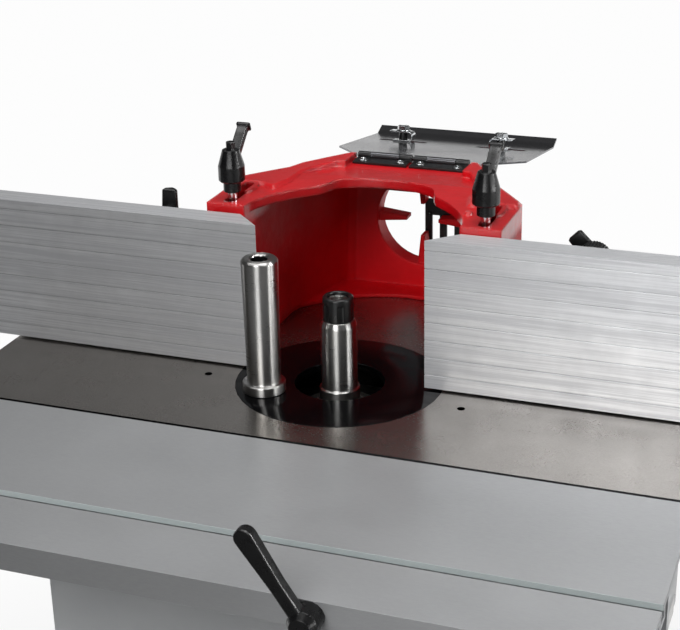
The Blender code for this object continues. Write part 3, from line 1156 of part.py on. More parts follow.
for tag, side in (("left", -1), ("right", 1)):
    middle = side * RAIL_BRACKET_X
    half = RAIL_BRACKET_WIDTH / 2
    shape = [(leg_back, -SLIDE_EDGE - 0.003), (leg_front, -SLIDE_EDGE - 0.003), (leg_front, arm_top),
             (toe, arm_top), (toe, arm_low), (leg_front, arm_low), (leg_front, leg_low), (leg_back, leg_low)]
    holder = part("rail_bracket_" + tag, outline([shape], middle - half, middle + half, "X"), "cast_iron",
                  datum)
    rib = [(leg_front + 0.001, arm_low + 0.001), (toe + 0.010, arm_low + 0.001),
           (leg_front + 0.001, leg_low + 0.005)]
    weld(holder, outline([rib], middle - RAIL_BRACKET_PLATE / 2, middle + RAIL_BRACKET_PLATE / 2, "X"))

lock_stem = SLIDE_WALL + SEAT_GAP
lock_points = [(0.0, WING_HUB), (WING_RADIUS * 0.55, WING_HUB), (WING_RADIUS * 0.8, WING_HUB - 0.006),
               (WING_RADIUS * 0.8, 0.0), (WING_BOLT, 0.0), (WING_BOLT, -lock_stem), (0.0, -lock_stem)]
lock = turned("table_lock_lever", lock_points, "black_plastic", slide_pivot,
              (LOCK_X, slide_front - SEAT_GAP, lock_z), (math.pi / 2, -LOCK_LEAN, 0.0), segments=COARSE)
lock_line = [(-LOCK_NECK, 0.0), (LOCK_NECK, 0.0), (LOCK_NECK, LOCK_REACH * 0.45)]
lock_line += arc((0.0, LOCK_REACH), LOCK_TIP, 0.0, math.pi, 10)
lock_line.append((-LOCK_NECK, LOCK_REACH * 0.45))
lock_arm = tool(outline([lock_line], WING_HUB - WING_THICK - 0.007, WING_HUB - 0.004), lock)
soften(lock_arm, 0.002, 2)
combine(lock, lock_arm, "UNION")

# Cabinet, plinth and door
cabinet_low = PLINTH_HEIGHT + SEAT_GAP
cabinet_top = TABLE_HEIGHT - TABLE_SKIRT - SEAT_GAP
cabinet = part("cabinet", box((-CABINET_HALF, -TABLE_FRONT, cabinet_low),
                              (CABINET_HALF, CABINET_REAR, cabinet_top)), "grey_paint", None)
inside = CABINET_HALF - CABINET_SHEET
cut(cabinet, box((-inside, CABINET_SHEET - TABLE_FRONT, cabinet_low + CABINET_SHEET),
                 (inside, CABINET_REAR - CABINET_SHEET, cabinet_top - CABINET_SHEET)))
mouth = CABINET_HALF - CABINET_FLANGE
cut(cabinet, box((-mouth, CABINET_FLANGE - TABLE_FRONT, cabinet_top - 0.01),
                 (mouth, CABINET_REAR - CABINET_FLANGE, cabinet_top + 0.01)))
cut(cabinet, box((inside - 0.01, DOOR_FRONT, DOOR_BOTTOM), (CABINET_HALF + 0.01, DOOR_REAR, DOOR_TOP)))
cut(cabinet, rod(bush_radius + SEAT_GAP, -TABLE_FRONT - 0.01, 0.01 - TABLE_FRONT, COARSE, "Y"),
    (0.0, 0.0, TABLE_HEIGHT + crank_z))
vent_low = DOOR_BOTTOM
louvre = tool(box((-CABINET_HALF - 0.01, CABINET_REAR / 2 - VENT_LENGTH, vent_low),
                  (0.01 - inside, CABINET_REAR / 2, vent_low + VENT_HEIGHT)), cabinet)
row = louvre.modifiers.new("row", "ARRAY")
row.count = VENT_COUNT
row.use_relative_offset = False
row.use_constant_offset = True
row.constant_offset_displace = (0.0, 0.0, VENT_PITCH)
row.merge_threshold = 0.0001
combine(cabinet, louvre, "DIFFERENCE")
plinth_half = CABINET_HALF - PLINTH_INSET
plinth_front = PLINTH_INSET - TABLE_FRONT
plinth_rear = CABINET_REAR - PLINTH_INSET
plinth = part("base_plinth", box((-plinth_half, plinth_front, 0.0),
                                 (plinth_half, plinth_rear, PLINTH_HEIGHT)), "dark_paint", None)
cut(plinth, box((PLINTH_SHEET - plinth_half, plinth_front + PLINTH_SHEET, PLINTH_SHEET),
                (plinth_half - PLINTH_SHEET, plinth_rear - PLINTH_SHEET, PLINTH_HEIGHT + 0.01)))

door_in = CABINET_HALF + SEAT_GAP
door_out = door_in + DOOR_DEPTH
door_pivot = pivot("door_hinge", (door_out, DOOR_REAR + DOOR_LAP, 0.0))
door_span = DOOR_REAR - DOOR_FRONT + 2 * DOOR_LAP
door_low = DOOR_BOTTOM - DOOR_LAP
door_high = DOOR_TOP + DOOR_LAP
door = part("cabinet_door", box((-DOOR_DEPTH, -door_span, door_low), (0.0, 0.0, door_high)), "grey_paint",
            door_pivot)
soften(door, 0.0015)
cut(door, box((-DOOR_DEPTH - 0.01, CABINET_SHEET - door_span, door_low + CABINET_SHEET),
              (-CABINET_SHEET, -CABINET_SHEET, door_high - CABINET_SHEET)))
# Lift-off hinges: the lower tube of each stands on the cabinet, the upper one is on the door.
hinge_y = DOOR_REAR + DOOR_LAP
web_front = hinge_y + SEAT_GAP
for middle in (door_low + DOOR_HINGE_INSET, door_high - DOOR_HINGE_INSET):
    tube_low = middle - DOOR_TUBE_HALF
    weld(cabinet, box((CABINET_HALF - 0.001, web_front, tube_low),
                      (door_out, web_front + DOOR_WEB, middle - RUN_GAP)))
    weld(cabinet, rod(DOOR_TUBE, tube_low, middle - RUN_GAP, 16), (door_out, hinge_y, 0.0))
    cut(door, rod(DOOR_TUBE + 2 * RUN_GAP, tube_low - 0.001, middle, 16))
    weld(door, rod(DOOR_TUBE, middle + RUN_GAP, middle + DOOR_TUBE_HALF, 16))
latch_y = 2 * DOOR_LAP - door_span
latch_z = (DOOR_BOTTOM + DOOR_TOP) / 2
cut(door, rod(LATCH_SHANK + SEAT_GAP, -0.02, 0.01, COARSE, "X"), (0.0, latch_y, latch_z))
latch_pivot = pivot("latch_axis", (0.0, latch_y, latch_z), door_pivot, (0.0, math.pi / 2, 0.0))
latch = turned("door_latch", [(0.0, 0.010), (LATCH_RADIUS - 0.002, 0.010), (LATCH_RADIUS, 0.008),
                              (LATCH_RADIUS, SEAT_GAP), (LATCH_SHANK, SEAT_GAP),
                              (LATCH_SHANK, -CABINET_SHEET - 0.004), (0.0, -CABINET_SHEET - 0.004)],
               "black_plastic", latch_pivot, segments=COARSE)
weld(latch, box((-LATCH_RADIUS * 0.85, -0.003, 0.009), (LATCH_RADIUS * 0.85, 0.003, 0.020)))

# Switch box with its two push buttons
switch_back = -TABLE_FRONT - SEAT_GAP
switch_front = switch_back - SWITCH_DEPTH
switch_top = TABLE_HEIGHT - SWITCH_DROP
switch = part("switch_box", box((SWITCH_X, switch_front, switch_top - SWITCH_HEIGHT),
                                (SWITCH_X + SWITCH_WIDTH, switch_back, switch_top)), "black_plastic", None)
soften(switch, 0.005, 2)
button_x = SWITCH_X + SWITCH_WIDTH / 2
button_low = switch_front + BUTTON_DEPTH
for name, finish, rise, proud in (("start_button", "green_plastic", 0.5, START_PROUD),
                                  ("stop_button", "red_plastic", -0.5, STOP_PROUD)):
    button_z = switch_top - SWITCH_HEIGHT / 2 + rise * BUTTON_SPACING
    cut(switch, rod(BUTTON_RADIUS + SEAT_GAP, switch_front - 0.01, button_low, COARSE, "Y"),
        (button_x, 0.0, button_z))
    stem = BUTTON_DEPTH - BUTTON_TRAVEL - SEAT_GAP
    turned(name, [(0.0, proud), (BUTTON_RADIUS - 0.002, proud), (BUTTON_RADIUS, proud - 0.002),
                  (BUTTON_RADIUS, -stem), (0.0, -stem)], finish, None,
           (button_x, switch_front, button_z), (math.pi / 2, 0.0, 0.0), segments=COARSE)
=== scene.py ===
import math

import bmesh
import bpy
import numpy as np
from mathutils import Matrix, Vector


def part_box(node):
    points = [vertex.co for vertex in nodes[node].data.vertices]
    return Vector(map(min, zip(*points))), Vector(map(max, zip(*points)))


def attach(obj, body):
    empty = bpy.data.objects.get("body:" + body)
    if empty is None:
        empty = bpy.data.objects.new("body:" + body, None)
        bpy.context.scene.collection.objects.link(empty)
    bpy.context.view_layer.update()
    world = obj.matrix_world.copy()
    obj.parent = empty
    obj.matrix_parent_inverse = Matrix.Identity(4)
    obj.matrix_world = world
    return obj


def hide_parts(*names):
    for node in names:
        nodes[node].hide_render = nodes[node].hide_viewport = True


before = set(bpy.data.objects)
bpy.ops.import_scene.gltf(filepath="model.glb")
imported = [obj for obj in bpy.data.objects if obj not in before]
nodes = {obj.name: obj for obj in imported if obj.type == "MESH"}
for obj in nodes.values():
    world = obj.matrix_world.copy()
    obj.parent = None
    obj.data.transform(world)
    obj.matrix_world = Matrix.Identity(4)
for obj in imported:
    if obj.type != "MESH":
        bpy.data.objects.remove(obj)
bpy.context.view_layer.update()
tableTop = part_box("main_table")[1].z
print("frame loaded,", len(nodes), "nodes")


# Surfaces: a shell is a pair of points (n, 3) and faces that name them

def gridFaces(rows, columns, ringRows=False, ringColumns=False):
    # One quad for each cell of a grid of points; a ring joins its last line to its first
    index = np.arange(rows * columns).reshape(rows, columns)
    if ringRows:
        index = np.vstack([index, index[:1]])
    if ringColumns:
        index = np.hstack([index, index[:, :1]])
    cells = np.stack([index[:-1, :-1], index[:-1, 1:], index[1:, 1:], index[1:, :-1]], axis=-1)
    return cells.reshape(-1, 4).tolist()


def eased(corners, reach, steps=4, ring=False):
    # Each corner c turns into (1-t)^2 a + 2t(1-t) c + t^2 b, where a and b lie reach before and after it
    c = np.asarray(corners, float)
    back, ahead = np.roll(c, 1, axis=0) - c, np.roll(c, -1, axis=0) - c
    backLength, aheadLength = np.linalg.norm(back, axis=1), np.linalg.norm(ahead, axis=1)
    size = np.broadcast_to(np.asarray(reach, float), (len(c),)).copy()
    if not ring:
        size[[0, -1]] = 0.0
    size = np.minimum(size, 0.48 * np.minimum(backLength, aheadLength))
    a = c + back * (size / backLength)[:, None]
    b = c + ahead * (size / aheadLength)[:, None]
    t = np.linspace(0.0, 1.0, steps + 1)[None, :, None]
    line = ((1 - t) ** 2 * a[:, None] + 2 * t * (1 - t) * c[:, None] + t ** 2 * b[:, None]).reshape(-1, c.shape[1])
    keep = np.r_[True, np.linalg.norm(np.diff(line, axis=0), axis=1) > 1e-8]
    return line[keep]


def turnedShell(profile, segments=96, ring=False):
    # A profile of (radius, height) carried round the upright axis: x = r cos a, y = r sin a, z = h
    profile = np.asarray(profile, float)
    a = np.linspace(0.0, 2 * np.pi, segments, endpoint=False)
    r, h = profile[:, :1], profile[:, 1:2]
    points = np.stack([r * np.cos(a), r * np.sin(a), h + 0 * a], axis=-1)
    return points.reshape(-1, 3), gridFaces(len(profile), segments, ring, True)


def stackedShell(rings, capped=True, ring=False):
    # Closed outlines, one on the next, with a flat face on each end
    rings = np.asarray(rings, float)
    rows, columns = rings.shape[:2]
    faces = gridFaces(rows, columns, ring, True)
    if capped and not ring:
        faces += [list(range(columns))[::-1], list(range((rows - 1) * columns, rows * columns))]
    return rings.reshape(-1, 3), faces


def carriedShell(section, path, side, scale=None, ring=False):
    # A section (across, over) carried along a path: point = path + across * side + over * (direction x side)
    path = np.asarray(path, float)
    along = np.gradient(path, axis=0)
    if ring:
        along = np.roll(path, -1, axis=0) - np.roll(path, 1, axis=0)
    along /= np.linalg.norm(along, axis=1)[:, None]
    side = np.broadcast_to(np.asarray(side, float), path.shape)
    side = side - np.sum(side * along, axis=1)[:, None] * along
    side = side / np.linalg.norm(side, axis=1)[:, None]
    over = np.cross(along, side)
    scale = np.ones((len(path), 2)) if scale is None else np.asarray(scale, float)
    part = np.asarray(section, float)[None] * scale[:, None]
    rings = path[:, None] + part[..., :1] * side[:, None] + part[..., 1:] * over[:, None]
    return stackedShell(rings, True, ring)


def polygonRadius(sides, count, share=1.0, turn=0.0):
    # A circle drawn towards a polygon: 1 - share + share * cos(pi/n) / cos(angle from the side's middle)
    a = np.linspace(0.0, 2 * np.pi, count, endpoint=False)
    within = (a + turn) % (2 * np.pi / sides) - np.pi / sides
    return 1 - share + share * np.cos(np.pi / sides) / np.cos(within)


def ringsOf(radii, heights):
    # Outlines from radii (rows, columns) and heights of the same shape or one for each row
    radii = np.asarray(radii, float)
    a = np.linspace(0.0, 2 * np.pi, radii.shape[1], endpoint=False)
    heights = np.broadcast_to(np.asarray(heights, float).reshape(len(radii), -1), radii.shape)
    return np.stack([radii * np.cos(a), radii * np.sin(a), heights], axis=-1)


def hexShell(flats, low, high, count=72):
    # A hexagon whose top is cut by a cone: edge height = top - (radius - 0.9 flat) * tan 25
    radius = flats / 2 / np.cos(np.pi / 6) * polygonRadius(6, count)
    cone = high - np.maximum(radius - 0.45 * flats, 0) * math.tan(math.radians(25))
    foot = np.full(count, low)
    crown = np.full(count, 0.45 * flats)
    ease = 0.00025
    rows = np.stack([radius - ease, radius, radius, radius - ease, crown])
    heights = np.stack([foot, foot + ease, cone - ease, cone, np.full(count, high)])
    return stackedShell(ringsOf(rows, heights))


def boxOutline(width, height, corner, steps=4):
    # A rectangle with eased corners, as (across, over)
    w, h = width / 2, height / 2
    return eased([(-w, -h), (w, -h), (w, h), (-w, h)], corner, steps, True)


def placed(shell, matrix):
    m = np.array(matrix)
    return shell[0] @ m[:3, :3].T + m[:3, 3], shell[1]


def addPiece(name, shells, finish, body, replaced=(), place=None, sharp=34.0):
    points, faces, start = [], [], 0
    for shellPoints, shellFaces in shells:
        points.append(shellPoints)
        faces += [[i + start for i in face] for face in shellFaces]
        start += len(shellPoints)
    points = np.vstack(points)
    if place is not None:
        points = placed((points, None), place)[0]
    mesh = bpy.data.meshes.new(name)
    mesh.from_pydata(points.tolist(), [], faces)
    work = bmesh.new()
    work.from_mesh(mesh)
    bmesh.ops.remove_doubles(work, verts=work.verts, dist=1e-6)
    bmesh.ops.recalc_face_normals(work, faces=work.faces)
    work.to_mesh(mesh)
    work.free()
    mesh.shade_smooth()
    mesh.set_sharp_from_angle(angle=math.radians(sharp))
    mesh.materials.append(finish)
    piece = bpy.data.objects.new(name, mesh)
    bpy.context.scene.collection.objects.link(piece)
    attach(piece, body)
    if replaced:
        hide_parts(*replaced)
    return piece


# Finishes: nodes are put in a material's tree one call at a time

def startFinish(name, sockets):
    material = bpy.data.materials.new(name)
    material.use_nodes = True
    shader = material.node_tree.nodes["Principled BSDF"]
    for socket, value in sockets.items():
        shader.inputs[socket].default_value = value
    return material, material.node_tree, shader


def put(tree, kind, feeds=None, **settings):
    node = tree.nodes.new("ShaderNode" + kind)
    for key, value in settings.items():
        setattr(node, key, value)
    for key, value in (feeds or {}).items():
        if isinstance(value, bpy.types.NodeSocket):
            tree.links.new(value, node.inputs[key])
        else:
            node.inputs[key].default_value = value
    return node


def grain(tree, size, stretch=(1.0, 1.0, 1.0), detail=4.0, roughness=0.55):
    # Soft noise on the piece's own coordinates; size is the width of a patch in metres
    where = put(tree, "TexCoord")
    drawn = put(tree, "Mapping", {"Vector": where.outputs["Object"], "Scale": stretch})
    noise = put(tree, "TexNoise", {"Vector": drawn.outputs["Vector"], "Scale": 1.0 / size, "Detail": detail,
                                   "Roughness": roughness})
    return noise.outputs["Fac"]


def spread(tree, value, low, high, start=0.3, end=0.7):
    # A straight run from low to high while value goes from start to end
    return put(tree, "MapRange", {"Value": value, "From Min": start, "From Max": end, "To Min": low,
                                  "To Max": high}).outputs["Result"]


def product(tree, first, second):
    return put(tree, "Math", {0: first, 1: second}, operation="MULTIPLY").outputs["Value"]


def tint(tree, share, first, second):
    # Colour between two, by share
    colours = [c if isinstance(c, bpy.types.NodeSocket) else (*c, 1.0) for c in (first, second)]
    return put(tree, "Mix", {0: share, 6: colours[0], 7: colours[1]}, data_type="RGBA").outputs[2]


def relief(tree, height, depth, under=None):
    # Bump of that depth in metres, over another one if there is one
    node = put(tree, "Bump", {"Height": height, "Distance": depth, "Strength": 1.0})
    if under is not None:
        tree.links.new(under, node.inputs["Normal"])
    return node.outputs["Normal"]


def softNormal(tree, width):
    # The normal as if edges were rounded to that width
    return put(tree, "Bevel", {"Radius": width}, samples=4).outputs["Normal"]


def edgeShare(tree, width):
    # How far a rounded normal leans from the true one: 0 on a flat, 1 on an edge
    soft = softNormal(tree, width)
    true = put(tree, "NewGeometry")
    lean = put(tree, "VectorMath", {0: soft, 1: true.outputs["Normal"]},
               operation="DOT_PRODUCT")
    return spread(tree, lean.outputs["Value"], 1.0, 0.0, 0.80, 0.985)


def tone(red, green, blue):
    # A screen colour from 0 to 255 as the linear one that a shader takes
    c = np.array([red, green, blue]) / 255.0
    return tuple(np.where(c <= 0.04045, c / 12.92, ((c + 0.055) / 1.055) ** 2.4).tolist())


def paintFinish(name, look):
    # Paint over metal: two close colours in patches, lumps of the metal and orange peel, thin paint on edges
    material, tree, shader = startFinish(name, {"Coat Weight": look["coat"], "Coat Roughness": look["coatRough"],
                                                "Specular IOR Level": look["gloss"]})
    patches = spread(tree, grain(tree, look["patch"]), 0.0, 1.0)
    colour = tint(tree, patches, look["colour"], look["shade"])
    worn = product(tree, edgeShare(tree, look["edge"]),
                   spread(tree, grain(tree, look["wear"]), 0.0, look["worn"], 0.42, 0.62))
    colour = tint(tree, worn, colour, look["thin"])
    low, high = look["rough"]
    lumps = relief(tree, grain(tree, look["lump"], detail=5.0, roughness=0.6), look["lumpDepth"],
                   softNormal(tree, look.get("round", look["edge"])))
    peel = relief(tree, grain(tree, look["peel"], detail=2.0), look["peelDepth"], lumps)
    links = tree.links
    links.new(colour, shader.inputs["Base Color"])
    links.new(spread(tree, grain(tree, look["patch"] * 0.3), low, high), shader.inputs["Roughness"])
    links.new(peel, shader.inputs["Normal"])
    if "fleck" in look:
        beads = product(tree, grain(tree, look["fleck"], detail=1.0), edgeShare(tree, look["fleckReach"]))
        peel = relief(tree, beads, look["fleckDepth"], peel)
    links.new(peel, shader.inputs["Coat Normal"])
    if "dullBelow" in look:
        height = put(tree, "SeparateXYZ", {"Vector": put(tree, "TexCoord").outputs["Object"]}).outputs["Z"]
        outside = spread(tree, height, 0.0, 1.0, look["dullBelow"] - 0.01, look["dullBelow"])
        links.new(product(tree, outside, look["coat"]), shader.inputs["Coat Weight"])
        links.new(spread(tree, outside, 0.2, look["gloss"], 0.0, 1.0), shader.inputs["Specular IOR Level"])
    return material


def layAcross(tree, lay):
    # Direction across the tool marks: the normal crossed with the way the marks run, straight or round an axis
    if lay in ("x", "y"):
        marks = put(tree, "CombineXYZ", {lay.upper(): 1.0}).outputs["Vector"]
    else:
        where = put(tree, "TexCoord")
        out = put(tree, "VectorMath", {0: where.outputs["Object"], 1: (*lay, 0.0)}, operation="SUBTRACT")
        marks = put(tree, "VectorMath", {0: (0.0, 0.0, 1.0), 1: out.outputs["Vector"]},
                    operation="CROSS_PRODUCT").outputs["Vector"]
    true = put(tree, "NewGeometry")
    return put(tree, "VectorMath", {0: true.outputs["Normal"], 1: marks},
               operation="CROSS_PRODUCT").outputs["Vector"]


def metalFinish(name, look):
    # Bare metal: streaks drawn out one way, cloudy patches, bright worn edges
    material, tree, shader = startFinish(name, {"Metallic": look.get("metal", 1.0),
                                                "Coat Weight": look.get("coat", 0.0),
                                                "Coat Roughness": look.get("coatRough", 0.1),
                                                "Anisotropic": look.get("brushed", 0.0)})
    if "lay" in look:
        tree.links.new(layAcross(tree, look["lay"]), shader.inputs["Tangent"])
    streaks = grain(tree, look["streak"], look["stretch"], 5.0, 0.6)
    if "band" in look:
        bands = grain(tree, look["band"], look["stretch"], 3.0)
        streaks = spread(tree, put(tree, "Math", {0: streaks, 1: bands}, operation="ADD").outputs["Value"],
                         0.3, 0.7, 0.85, 1.15)
    clouds = grain(tree, look["cloud"], detail=5.0)
    colour = tint(tree, spread(tree, streaks, 0.0, 1.0), look["colour"], look["shade"])
    colour = tint(tree, spread(tree, clouds, 0.0, look["cloudy"]), colour, look["stain"])
    worn = product(tree, edgeShare(tree, look["edge"]), spread(tree, clouds, 0.2, look["worn"]))
    colour = tint(tree, worn, colour, look["bright"])
    # Painted shade: thin dark lines at the groove heights, one every pitch down from the top, darkening the grooves
    if "rows" in look:
        top, pitch = look["rows"]
        height = put(tree, "SeparateXYZ", {"Vector": put(tree, "TexCoord").outputs["Object"]}).outputs["Z"]
        away = put(tree, "Math", {0: height, 1: top}, operation="SUBTRACT").outputs["Value"]
        away = put(tree, "Math", {0: away, 1: pitch / 2}, operation="PINGPONG").outputs["Value"]
        colour = tint(tree, spread(tree, away, 0.4, 0.0, 0.0002, 0.0007), colour, tone(70, 70, 72))
    # Faces that don't face up take a near black colour: the casting's dark sides, and painted shade where the table's
    # front face shows in the gap to the sliding table
    if "sides" in look:
        up = put(tree, "SeparateXYZ", {"Vector": put(tree, "NewGeometry").outputs["True Normal"]}).outputs["Z"]
        colour = tint(tree, spread(tree, up, 1.0, 0.0, 0.75, 0.96), colour, look["sides"])
    # Painted light: the slot's wall that faces the front is coloured pale and not metallic, standing in for light in
    # place of its shade
    if "slotAt" in look:
        across = put(tree, "SeparateXYZ", {"Vector": put(tree, "TexCoord").outputs["Object"]}).outputs["Y"]
        near = put(tree, "Math", {0: across, 1: look["slotAt"], 2: 0.0056}, operation="COMPARE").outputs["Value"]
        facing = put(tree, "SeparateXYZ", {"Vector": put(tree, "NewGeometry").outputs["True Normal"]}).outputs["Y"]
        paintedLightSlotWall = product(tree, near, spread(tree, facing, 1.0, 0.0, -0.6, -0.2))
        colour = tint(tree, paintedLightSlotWall, colour, tone(178, 187, 187))
        tree.links.new(spread(tree, paintedLightSlotWall, look["metal"], 0.0, 0.0, 1.0), shader.inputs["Metallic"])
    low, high = look["rough"]
    rough = put(tree, "Math", {0: spread(tree, streaks, low, high), 1: spread(tree, clouds, -look.get("patchy", 0.04), look.get("patchy", 0.04))},
                operation="ADD").outputs["Value"]
    normal = relief(tree, streaks, look["depth"])
    if look.get("pit"):
        normal = relief(tree, grain(tree, look["pit"], detail=3.0), look["pitDepth"], normal)
    tree.links.new(colour, shader.inputs["Base Color"])
    tree.links.new(rough, shader.inputs["Roughness"])
    tree.links.new(normal, shader.inputs["Normal"])
    return material


def plasticFinish(name, look):
    # Moulded plastic: fine spark grain, dull rubbed patches, paler edges where hands wear it
    material, tree, shader = startFinish(name, {"Specular IOR Level": look.get("gloss", 0.5)})
    rubbed = spread(tree, grain(tree, look["patch"]), 0.0, 1.0)
    colour = tint(tree, rubbed, look["colour"], look["shade"])
    worn = product(tree, edgeShare(tree, look["edge"]), spread(tree, grain(tree, look["patch"] * 0.4), 0.1, 0.8))
    colour = tint(tree, worn, colour, look["pale"])
    low, high = look["rough"]
    tree.links.new(colour, shader.inputs["Base Color"])
    tree.links.new(spread(tree, grain(tree, look["patch"] * 0.6), low, high), shader.inputs["Roughness"])
    tree.links.new(relief(tree, grain(tree, look["spark"], detail=2.0), look["sparkDepth"]), shader.inputs["Normal"])
    return material


redEnamel = paintFinish("red_enamel", {
    "colour": tone(207, 10, 22), "shade": tone(189, 8, 17), "thin": tone(232, 40, 44), "patch": 0.045,
    "edge": 0.0016, "wear": 0.006, "worn": 0.55, "rough": (0.42, 0.56), "gloss": 0.25, "coat": 0.8,
    "coatRough": 0.05, "lump": 0.0065, "lumpDepth": 0.0004, "peel": 0.0022, "peelDepth": 0.00008, "round": 0.004,
    "fleck": 0.0024, "fleckDepth": 0.0012, "fleckReach": 0.005,
    "dullBelow": tableTop + 0.146 - nodes["hood"].matrix_world.translation.z})
greyPaint = paintFinish("grey_paint", {
    "colour": tone(178, 180, 181), "shade": tone(170, 172, 174), "thin": tone(205, 206, 206), "patch": 0.12,
    "edge": 0.002, "wear": 0.02, "worn": 0.6, "rough": (0.38, 0.50), "gloss": 0.5, "coat": 0.15,
    "coatRough": 0.25, "lump": 0.09, "lumpDepth": 0.0006, "peel": 0.0014, "peelDepth": 0.00006})
darkPaint = paintFinish("dark_paint", {
    "colour": tone(52, 54, 57), "shade": tone(44, 45, 48), "thin": tone(98, 99, 101), "patch": 0.08,
    "edge": 0.0015, "wear": 0.012, "worn": 0.7, "rough": (0.42, 0.58), "gloss": 0.5, "coat": 0.1,
    "coatRough": 0.3, "lump": 0.02, "lumpDepth": 0.0004, "peel": 0.0016, "peelDepth": 0.00008})
blackSteel = paintFinish("black_steel", {
    "colour": tone(13, 13, 14), "shade": tone(9, 9, 10), "thin": tone(60, 60, 62), "patch": 0.03,
    "edge": 0.0006, "wear": 0.004, "worn": 0.4, "rough": (0.26, 0.36), "gloss": 0.45, "coat": 0.2,
    "coatRough": 0.2, "lump": 0.01, "lumpDepth": 0.0001, "peel": 0.0009, "peelDepth": 0.00003})
blackGloss = paintFinish("black_gloss", {
    "colour": tone(6, 6, 7), "shade": tone(4, 4, 5), "thin": tone(40, 40, 40), "patch": 0.05,
    "edge": 0.0008, "wear": 0.01, "worn": 0.4, "rough": (0.10, 0.16), "gloss": 0.16, "coat": 0.0,
    "coatRough": 0.06, "lump": 0.03, "lumpDepth": 0.00005, "peel": 0.0012, "peelDepth": 0.000004})
groundIronLook = {
    "colour": tone(168, 164, 159), "shade": tone(152, 148, 143), "stain": tone(140, 136, 131),
    "bright": tone(176, 173, 169), "streak": 0.0009, "stretch": (0.45, 1.0, 1.0), "cloud": 0.05, "cloudy": 0.4,
    "worn": 0.2, "edge": 0.0004, "rough": (0.24, 0.28), "depth": 0.0000003, "brushed": 0.2, "lay": "x", "patchy": 0.015}
groundIron = metalFinish("ground_iron", groundIronLook)
# table_iron: ground iron whose faces that don't face up are dark, partly as painted shade in the gap to the sliding
# table
tableIron = metalFinish("table_iron", {**groundIronLook, "sides": tone(34, 34, 35)})
castIron = metalFinish("cast_iron", {
    "colour": tone(96, 95, 93), "shade": tone(80, 79, 77), "stain": tone(70, 67, 64), "bright": tone(150, 148, 145),
    "streak": 0.004, "stretch": (1.0, 1.0, 1.0), "cloud": 0.03, "cloudy": 0.6, "worn": 0.8, "edge": 0.0015,
    "rough": (0.45, 0.6), "depth": 0.0003, "metal": 0.85, "pit": 0.0012, "pitDepth": 0.0001})
aluminiumLook = {
    "colour": tone(219, 220, 222), "shade": tone(190, 191, 194), "stain": tone(168, 168, 170),
    "bright": tone(176, 176, 178), "streak": 0.0011, "stretch": (0.014, 1.0, 1.0), "band": 0.006, "cloud": 0.03,
    "cloudy": 0.35, "worn": 0.9, "edge": 0.0005, "rough": (0.34, 0.46), "depth": 0.00002, "brushed": 0.75, "lay": "x",
    "metal": 0.65}
aluminium = metalFinish("satin_aluminium", aluminiumLook)
# Height of the top groove and the pitch of the painted groove shade on the fences
fenceGrooveShade = (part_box("left_fence")[1].z - 0.010 - nodes["left_fence"].matrix_world.translation.z, 0.0184)
fenceAluminium = metalFinish("fence_aluminium", {**aluminiumLook, "rows": fenceGrooveShade})
# slide_aluminium: the slot wall at slotAt carries painted light
slideAluminium = metalFinish("slide_aluminium", {
    "colour": tone(162, 163, 164), "shade": tone(156, 157, 159), "stain": tone(150, 151, 152),
    "bright": tone(190, 191, 192), "streak": 0.0012, "stretch": (0.2, 1.0, 1.0), "cloud": 0.09, "cloudy": 0.3,
    "worn": 0.3, "edge": 0.0004, "rough": (0.40, 0.44), "depth": 0.000002, "brushed": 0.75, "lay": "x", "metal": 0.65,
    "slotAt": -0.3065 - nodes["sliding_table"].matrix_world.translation.y})
steelLook = {
    "colour": tone(188, 187, 185), "shade": tone(176, 175, 173), "stain": tone(168, 166, 163),
    "bright": tone(225, 224, 222), "streak": 0.0007, "stretch": (0.05, 0.05, 1.0), "cloud": 0.02, "cloudy": 0.25,
    "worn": 0.9, "edge": 0.0006, "rough": (0.27, 0.33), "depth": 0.0000001, "brushed": 0.9, "lay": (0.0, 0.0),
    "patchy": 0.02}
polishedSteel = metalFinish("polished_steel", steelLook)
spareLow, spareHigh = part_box("spare_spindle")
spareSteel = metalFinish("spare_steel", {**steelLook, "lay": tuple((spareLow + spareHigh) / 2)[:2]})
zincSteel = metalFinish("zinc_steel", {
    "colour": tone(200, 203, 206), "shade": tone(186, 190, 194), "stain": tone(190, 186, 170),
    "bright": tone(232, 233, 234), "streak": 0.0008, "stretch": (0.2, 1.0, 1.0), "cloud": 0.01, "cloudy": 0.2,
    "worn": 0.9, "edge": 0.0005, "rough": (0.15, 0.19), "depth": 0.000001, "patchy": 0.02})
bluedPlate = metalFinish("blued_plate", {
    "colour": tone(104, 104, 107), "shade": tone(92, 92, 95), "stain": tone(80, 80, 84),
    "bright": tone(130, 130, 132), "streak": 0.0014, "stretch": (1.0, 0.03, 1.0), "cloud": 0.09, "cloudy": 0.3,
    "worn": 0.5, "edge": 0.0005, "rough": (0.21, 0.25), "depth": 0.0000015, "metal": 0.9, "coat": 0.1,
    "coatRough": 0.12, "patchy": 0.02})
bronze = metalFinish("bronze", {
    "colour": tone(190, 146, 86), "shade": tone(172, 128, 72), "stain": tone(132, 96, 56),
    "bright": tone(222, 186, 126), "streak": 0.0009, "stretch": (0.1, 0.1, 1.0), "cloud": 0.01, "cloudy": 0.5,
    "worn": 0.8, "edge": 0.0006, "rough": (0.28, 0.4), "depth": 0.00001})
blackPlastic = plasticFinish("black_plastic", {
    "colour": tone(15, 15, 16), "shade": tone(11, 11, 12), "pale": tone(46, 46, 48), "patch": 0.012,
    "edge": 0.0006, "rough": (0.24, 0.34), "spark": 0.0006, "sparkDepth": 0.000012})
